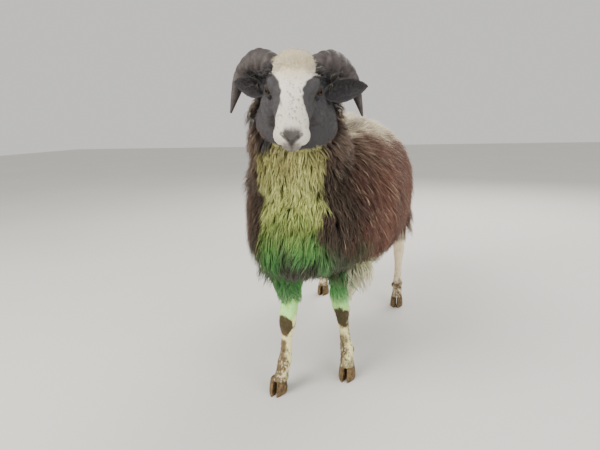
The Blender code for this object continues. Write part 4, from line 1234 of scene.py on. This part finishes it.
def make_coat(skin, body_tree, head_tree):
    """All the hair, kind by kind."""
    chance = np.random.default_rng(SEED)
    faces = skin_faces(skin)
    middles = faces[0].mean(axis=1)
    head = head_zone(middles, head_tree)
    skin_tree = surface_tree(skin)
    horns = [horn(side) for side in SIDES]
    crown_tree = surface_tree(skin, *horns)
    for spare in horns:
        bpy.data.objects.remove(spare)
    axes = on_head(middles)
    beside, along, out = np.abs(axes[:, 0]), axes[:, 1], axes[:, 2]
    ears = head & (beside > EAR_FROM) & (out > -0.05)
    crown = head & ~ears & (along > 0.002) & (out > 0.0)
    poll = head & ~ears & (along > 0.050) & ((out < 0.020) | (along > 0.075))
    ear_top = head & (np.abs(beside - 0.065) < 0.026) & (out > 0.002) & (along > 0.020)
    ear_top &= faces[1][:, 2] > 0.3
    wool = woolly(middles) * ~head
    shank = (1 - woolly(middles)) * ~head * (middles[:, 2] > CORONET - 0.004)
    kinds = (
        ("fleece", LONG_WOOL, 58000, wool * ~on_leg(middles) * shown_share(middles)),
        ("leg_wool", LEG_WOOL, 8000, wool * on_leg(middles)),
        ("leg_fur", LEG_FUR, 7500, shank),
        ("poll_wool", POLL_WOOL, 3600, poll * 1.0),
        ("crown_hair", CROWN_HAIR, 7500, crown * soft(along - 0.028, 0.05) * ~poll),
        ("ear_fur", EAR_FUR, 3500, ears * 1.0),
        ("ear_tuft", EAR_TUFT, 1500, ear_top * 1.0),
        ("face_fur", FACE_FUR, 13000, head * ~ears * face_share(middles)),
    )
    pieces = []
    for name, kind, count, share in kinds:
        roots, ways = skin_roots(faces, share, chance, count)
        tree = crown_tree if kind is CROWN_HAIR else skin_tree if kind["on_head"] else body_tree
        pieces += grow(tree, name, kind, roots, ways, chance)
    return pieces


def shown_share(points):
    """How thickly the long wool grows: most on the neck and breast, less under the belly."""
    x, y, z = points.T
    neck = soft(z - 0.60, 0.05) * soft(0.16 - y, 0.10)
    return 1 + 0.6 * soft(0.04 - y, 0.08) + 0.5 * neck - 0.35 * soft(0.33 - z, 0.06)


def face_share(points):
    """How thickly short fur covers the face: none on the lids, the nose and the edges of the mouth."""
    axes = on_head(points)
    share = np.ones(len(points))
    for sign in SIDES.values():
        away = np.linalg.norm(axes - np.array(eye_centre(sign)), axis=1)
        share *= soft(away - EYE_RADIUS - 0.0040, 0.003)
    nose = soft(0.022 - np.abs(axes[:, 0]), 0.006) * soft(-0.106 - axes[:, 1], 0.006)
    return share * (1 - nose)


# Eyes, claws


def eyeball(side):
    """The eyeball, with a colour at each corner: dark rim, amber iris and a level slit of pupil."""
    sign = SIDES[side]
    thing = ball("eye_" + side, eye_centre(sign), (EYE_RADIUS,) * 3, level=6)
    points, _ = corners_of(thing)
    out, slit, up = eye_axes(sign)
    ray = (points - np.array(eye_centre(sign))) / EYE_RADIUS
    wide, high, ahead = ray @ np.array(slit), ray @ np.array(up), ray @ np.array(out)
    away = np.hypot(wide, high)
    paint = Paint(len(points), "#2a1d14", "#2a1d14")
    paint.over(soft(0.66 - away, 0.05) * (ahead > 0), "#3f2f1c", "#3f2f1c")
    paint.over(soft(0.66 - away, 0.05) * soft(away - 0.50, 0.12) * (ahead > 0), "#1b130c", "#1b130c")
    pupil = soft(1 - (wide / 0.42) ** 4 - (high / 0.19) ** 2, 0.25) * (ahead > 0)
    paint.over(pupil, "#050505", "#050505")
    keep_colours(thing.data, "eye_colour", paint.root)
    thing.data.transform(head_place())
    return smoothed(thing)


# A claw from coronet to ground: place, height, reach ahead of and behind the foot, half width
CLAW = (
    (0.00, CORONET, 0.0215, 0.0195, 0.0090),
    (0.40, 0.0225, 0.0275, 0.0215, 0.0102),
    (0.80, 0.0060, 0.0335, 0.0225, 0.0108),
    (1.00, 0.0000, 0.0335, 0.0215, 0.0104),
)
CLAW_CLEFT = 0.0012
CLAW_TAPER = 0.45
CLAW_RINGS = 9
FOOT_LEAN = {"fore": -0.010, "hind": -0.006}
DEWCLAW = (0.0062, 0.0070, 0.0100)
DEWCLAW_HEIGHT = 0.064
DEWCLAW_SPREAD = 0.0105
DEWCLAW_BACK = {"fore": 0.026, "hind": 0.033}


def claw(end, side, place, sides=40, count=46):
    """One of a foot's two claws, flat on the ground, with fine growth rings round its wall."""
    foot = FOOT[end][side]
    outward = SIDES[side] * (1 if place == "outer" else -1)
    rings = []
    for share, z, ahead, behind, half in eased(CLAW, count):
        worn = 1 - 0.012 * (1 + math.sin(math.tau * CLAW_RINGS * share)) * (share < 0.94)
        points = []
        for k in range(sides):
            angle = math.tau * k / sides
            along = math.sin(angle)
            width = half * worn * (1 + math.cos(angle)) * (1 - CLAW_TAPER * max(0.0, along) ** 2)
            reach = ahead if along > 0 else behind
            y = foot.y + FOOT_LEAN[end] - along * reach * worn
            points.append(Vector((foot.x + outward * (CLAW_CLEFT + width), y, z)))
        rings.append(points)
    return loft(f"{end}claw_{side}_{place}", rings)


def dewclaws(end, side):
    """The two small claws behind each fetlock."""
    foot = FOOT[end][side]
    mesh = bmesh.new()
    for sign in SIDES.values():
        x = foot.x * 0.95 + sign * DEWCLAW_SPREAD
        add_ball(mesh, (x, foot.y + DEWCLAW_BACK[end], DEWCLAW_HEIGHT), DEWCLAW)
    return smoothed(object_of(f"{end}leg_dewclaws_{side}", mesh))


# Materials


def node(tree, kind, links=None, stops=(), **settings):
    """Adds a node, sets its properties, its ramp's colours and its unlinked sockets, and links the others."""
    made = tree.nodes.new(kind)
    for name, value in settings.items():
        setattr(made, name, value)
    for k, (place, code) in enumerate(stops):
        colours = made.color_ramp.elements
        stop = colours[k] if k < len(colours) else colours.new(place)
        stop.position = place
        stop.color = (*linear(code), 1)
    for name, source in (links or {}).items():
        socket = made.inputs[name]
        if isinstance(source, bpy.types.NodeSocket):
            tree.links.new(source, socket)
        else:
            socket.default_value = source
    return made


def material(name, roughness, **sockets):
    """An empty material with a Principled shader."""
    made = bpy.data.materials.new(name)
    made.use_nodes = True
    shader = made.node_tree.nodes["Principled BSDF"]
    shader.inputs["Metallic"].default_value = 0.0
    shader.inputs["Roughness"].default_value = roughness
    for label, value in sockets.items():
        shader.inputs[label.replace("_", " ")].default_value = value
    return made, made.node_tree, shader


def shade_hair(tree, shader, pattern, darkest, lightest):
    """Gives the shader the hair's own colour, darkened and lightened by a noise pattern."""
    colour = node(tree, "ShaderNodeAttribute", attribute_name="hair_colour").outputs["Color"]
    limits = {"From Min": 0.3, "From Max": 0.7, "To Min": darkest, "To Max": lightest}
    spread = node(tree, "ShaderNodeMapRange", {"Value": pattern, **limits}).outputs["Result"]
    tinted = node(tree, "ShaderNodeVectorMath", {0: colour, "Scale": spread}, operation="SCALE")
    tree.links.new(tinted.outputs["Vector"], shader.inputs["Base Color"])


def wool_material():
    """Grown sheep's wool: dull, greasy fibre that scatters light softly, with a faint sheen and no gloss."""
    made, tree, shader = material("raw_sheep_wool", 0.82, Sheen_Weight=0.08, Sheen_Roughness=0.5)
    place = node(tree, "ShaderNodeTexCoord").outputs["Object"]
    # Dirt and grease gather in patches of about 40 mm
    dirt = node(tree, "ShaderNodeTexNoise", {"Vector": place, "Scale": 25.0, "Detail": 3.0})
    shade_hair(tree, shader, dirt.outputs["Fac"], 0.80, 1.12)
    return made


def fur_material():
    """Short hair laid flat on skin: matt, streaked along and across at the width of a few hairs."""
    made, tree, shader = material("short_sheep_hair", 0.78, Sheen_Weight=0.06, Sheen_Roughness=0.5)
    place = node(tree, "ShaderNodeTexCoord").outputs["Object"]
    # Small tufts of hair about 1.4 mm across, drawn coarser than single hairs so that they show
    hair = node(tree, "ShaderNodeTexNoise", {"Vector": place, "Scale": 700.0, "Detail": 2.0}).outputs["Fac"]
    shade_hair(tree, shader, hair, 0.90, 1.08)
    bump = node(tree, "ShaderNodeBump", {"Height": hair, "Strength": 0.4, "Distance": 0.0006})
    tree.links.new(bump.outputs["Normal"], shader.inputs["Normal"])
    return made


def horn_material():
    """Weathered horn keratin: dark grey and chalky, paler where it is rubbed, in fine growth lines."""
    made, tree, shader = material("weathered_horn_keratin", 0.62, Specular_IOR_Level=0.3)
    along = node(tree, "ShaderNodeAttribute", attribute_name="along").outputs["Fac"]
    place = node(tree, "ShaderNodeTexCoord").outputs["Object"]
    spots = {"Vector": place, "Scale": 60.0, "Detail": 5.0, "Roughness": 0.6}
    blotch = node(tree, "ShaderNodeTexNoise", spots).outputs["Fac"]
    # Growth lines about 2.5 mm apart along a horn some 190 mm long
    lines = node(tree, "ShaderNodeMath", {0: along, 1: 470.0}, operation="MULTIPLY").outputs["Value"]
    bent = node(tree, "ShaderNodeMath", {0: blotch, 1: 9.0, 2: lines}, operation="MULTIPLY_ADD")
    wave = node(tree, "ShaderNodeMath", {0: bent.outputs["Value"]}, operation="SINE").outputs["Value"]
    mixed = node(tree, "ShaderNodeMath", {0: wave, 1: 0.10, 2: blotch}, operation="MULTIPLY_ADD")
    worn = mixed.outputs["Value"]
    greys = ((0.30, "#332e2d"), (0.52, "#463f3d"), (0.72, "#5e5653"))
    ramp = node(tree, "ShaderNodeValToRGB", {"Fac": worn}, greys)
    bump = node(tree, "ShaderNodeBump", {"Height": worn, "Strength": 0.35, "Distance": 0.0007})
    tree.links.new(ramp.outputs["Color"], shader.inputs["Base Color"])
    tree.links.new(bump.outputs["Normal"], shader.inputs["Normal"])
    return made


def claw_material():
    """Hoof horn, worn and caked with dried mud: brown, matt and crusted."""
    made, tree, shader = material("muddy_hoof_horn", 0.68)
    place = node(tree, "ShaderNodeTexCoord").outputs["Object"]
    # Mud in patches of about 9 mm
    spots = {"Vector": place, "Scale": 110.0, "Detail": 5.0, "Roughness": 0.65}
    mud = node(tree, "ShaderNodeTexNoise", spots).outputs["Fac"]
    ramp = node(tree, "ShaderNodeValToRGB", {"Fac": mud}, ((0.35, "#2c2111"), (0.68, "#84693c")))
    bump = node(tree, "ShaderNodeBump", {"Height": mud, "Strength": 0.6, "Distance": 0.0012})
    tree.links.new(ramp.outputs["Color"], shader.inputs["Base Color"])
    tree.links.new(bump.outputs["Normal"], shader.inputs["Normal"])
    return made


def eye_material():
    """A wet eye: amber under a clear, smooth cornea, with a small sharp highlight and a dark pupil."""
    # The specular level is low, so that wide soft lamps don't veil the pupil
    made, tree, shader = material("wet_sheep_eye", 0.06, IOR=1.34, Specular_IOR_Level=0.15)
    colour = node(tree, "ShaderNodeAttribute", attribute_name="eye_colour")
    tree.links.new(colour.outputs["Color"], shader.inputs["Base Color"])
    return made


def floor_material():
    """A pale matt studio floor."""
    made, tree, shader = material("pale_studio_floor", 0.85)
    place = node(tree, "ShaderNodeTexCoord").outputs["Object"]
    cloud = node(tree, "ShaderNodeTexNoise", {"Vector": place, "Scale": 1.2, "Detail": 2.0})
    greys = ((0.0, "#d3d0ca"), (1.0, "#dcdad5"))
    ramp = node(tree, "ShaderNodeValToRGB", {"Fac": cloud.outputs["Fac"]}, greys)
    tree.links.new(ramp.outputs["Color"], shader.inputs["Base Color"])
    return made


# Putting it together


def finish_piece(thing, finish, slot, *nodes):
    """Moves a piece to the solids' origin, gives it its finish and its place on the body."""
    thing.data.transform(Matrix.Translation(-STANCE_CENTRE))
    thing.data.materials.clear()
    thing.data.materials.append(finish)
    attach(thing, "root")
    if nodes:
        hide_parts(*nodes)


def make_animal():
    wool, fur = wool_material(), fur_material()
    keratin, hoof, wet = horn_material(), claw_material(), eye_material()
    skin, body_tree, head_tree = make_skin()
    points, _ = corners_of(skin)
    head = head_zone(points, head_tree)
    paint = coat_colours(points, head)
    # The skin takes a colour between root and tip, under the fleece mostly the darker root colour: painted
    # shade deep in the coat
    under = 0.35 + 0.35 * np.maximum(head, 1 - woolly(points))[:, None]
    keep_colours(skin.data, "hair_colour", paint.root * (1 - under) + paint.tip * under)
    pieces = make_coat(skin, body_tree, head_tree)
    ends = [f"{end}leg_{part}_{side}" for end in FOOT for side in SIDES for part in ("upper", "lower")]
    finish_piece(skin, fur, "face_fur", "head", "neck", "torso", "tail", "ear_left", "ear_right", *ends)
    slots = {"fleece": "fleece", "leg_wool": "fleece", "leg_fur": "leg_fur"}
    for piece in pieces:
        kind = piece.name.rsplit("_", 1)[0]
        finish = wool if kind in ("fleece", "leg_wool", "poll_wool") else fur
        finish_piece(piece, finish, slots.get(kind, "face_fur"))
    for side in SIDES:
        finish_piece(horn(side), keratin, "horn", "horn_" + side)
        finish_piece(eyeball(side), wet, "eye", "eye_" + side)
        for end in FOOT:
            finish_piece(dewclaws(end, side), hoof, "claw")
            for place in ("inner", "outer"):
                name = f"{end}claw_{side}_{place}"
                finish_piece(claw(end, side, place), hoof, "claw", name)


# The studio: floor, lights and camera
FLOOR_HALF = 12.0
CAMERA_SPOT = Vector((0.3167, -1.0505, 0.680))
CAMERA_FORWARD = Vector((-0.3062, 0.9520, 0.0))
CAMERA_RIGHT = Vector((0.9520, 0.3062, 0.0))
CAMERA_PITCH = math.radians(12.4)
CAMERA_ROLL = math.radians(1.7)
CAMERA_LENS = 27.9
SENSOR = 36.0
# Lamps: name, spot, the height they are turned to, width, power and tint
LAMPS = (
    ("key", (-1.6, -2.2, 2.6), 0.45, 2.2, 140, (1.0, 0.97, 0.92)),
    ("fill", (2.4, -1.6, 1.6), 0.45, 2.4, 52, (0.97, 0.98, 1.0)),
    ("rim", (0.6, 2.6, 2.4), 0.50, 2.0, 95, (1.0, 0.97, 0.93)),
)


def make_camera():
    pitch, roll = CAMERA_PITCH, CAMERA_ROLL
    forward = CAMERA_FORWARD * math.cos(pitch) - UP * math.sin(pitch)
    above = CAMERA_FORWARD * math.sin(pitch) + UP * math.cos(pitch)
    right = CAMERA_RIGHT * math.cos(roll) - above * math.sin(roll)
    above = above * math.cos(roll) + CAMERA_RIGHT * math.sin(roll)
    data = bpy.data.cameras.new("camera")
    data.lens = CAMERA_LENS
    data.sensor_width = SENSOR
    camera = bpy.data.objects.new("camera", data)
    bpy.context.scene.collection.objects.link(camera)
    turn = Matrix((right, above, -forward)).transposed().to_4x4()
    camera.matrix_world = Matrix.Translation(CAMERA_SPOT - STANCE_CENTRE) @ turn
    bpy.context.scene.camera = camera


def area_light(name, spot, height, size, power, tint):
    """A round lamp at its spot, turned to the place at this height over the middle of the floor."""
    data = bpy.data.lights.new(name, "AREA")
    data.shape = "DISK"
    data.size = size
    data.energy = power
    data.color = tint
    lamp = bpy.data.objects.new(name, data)
    bpy.context.scene.collection.objects.link(lamp)
    lamp.location = spot
    lamp.rotation_euler = (Vector((0, 0, height)) - Vector(spot)).to_track_quat("-Z", "Y").to_euler()


def make_studio():
    mesh = bmesh.new()
    bmesh.ops.create_grid(mesh, x_segments=2, y_segments=2, size=FLOOR_HALF)
    floor = object_of("floor", mesh)
    floor.data.materials.append(floor_material())
    world = bpy.data.worlds.new("studio_air")
    world.use_nodes = True
    sky = world.node_tree.nodes["Background"]
    sky.inputs["Color"].default_value = (*linear("#e6e4e0"), 1)
    sky.inputs["Strength"].default_value = 1.0
    bpy.context.scene.world = world
    for lamp in LAMPS:
        area_light(*lamp)


make_animal()
make_studio()
make_camera()
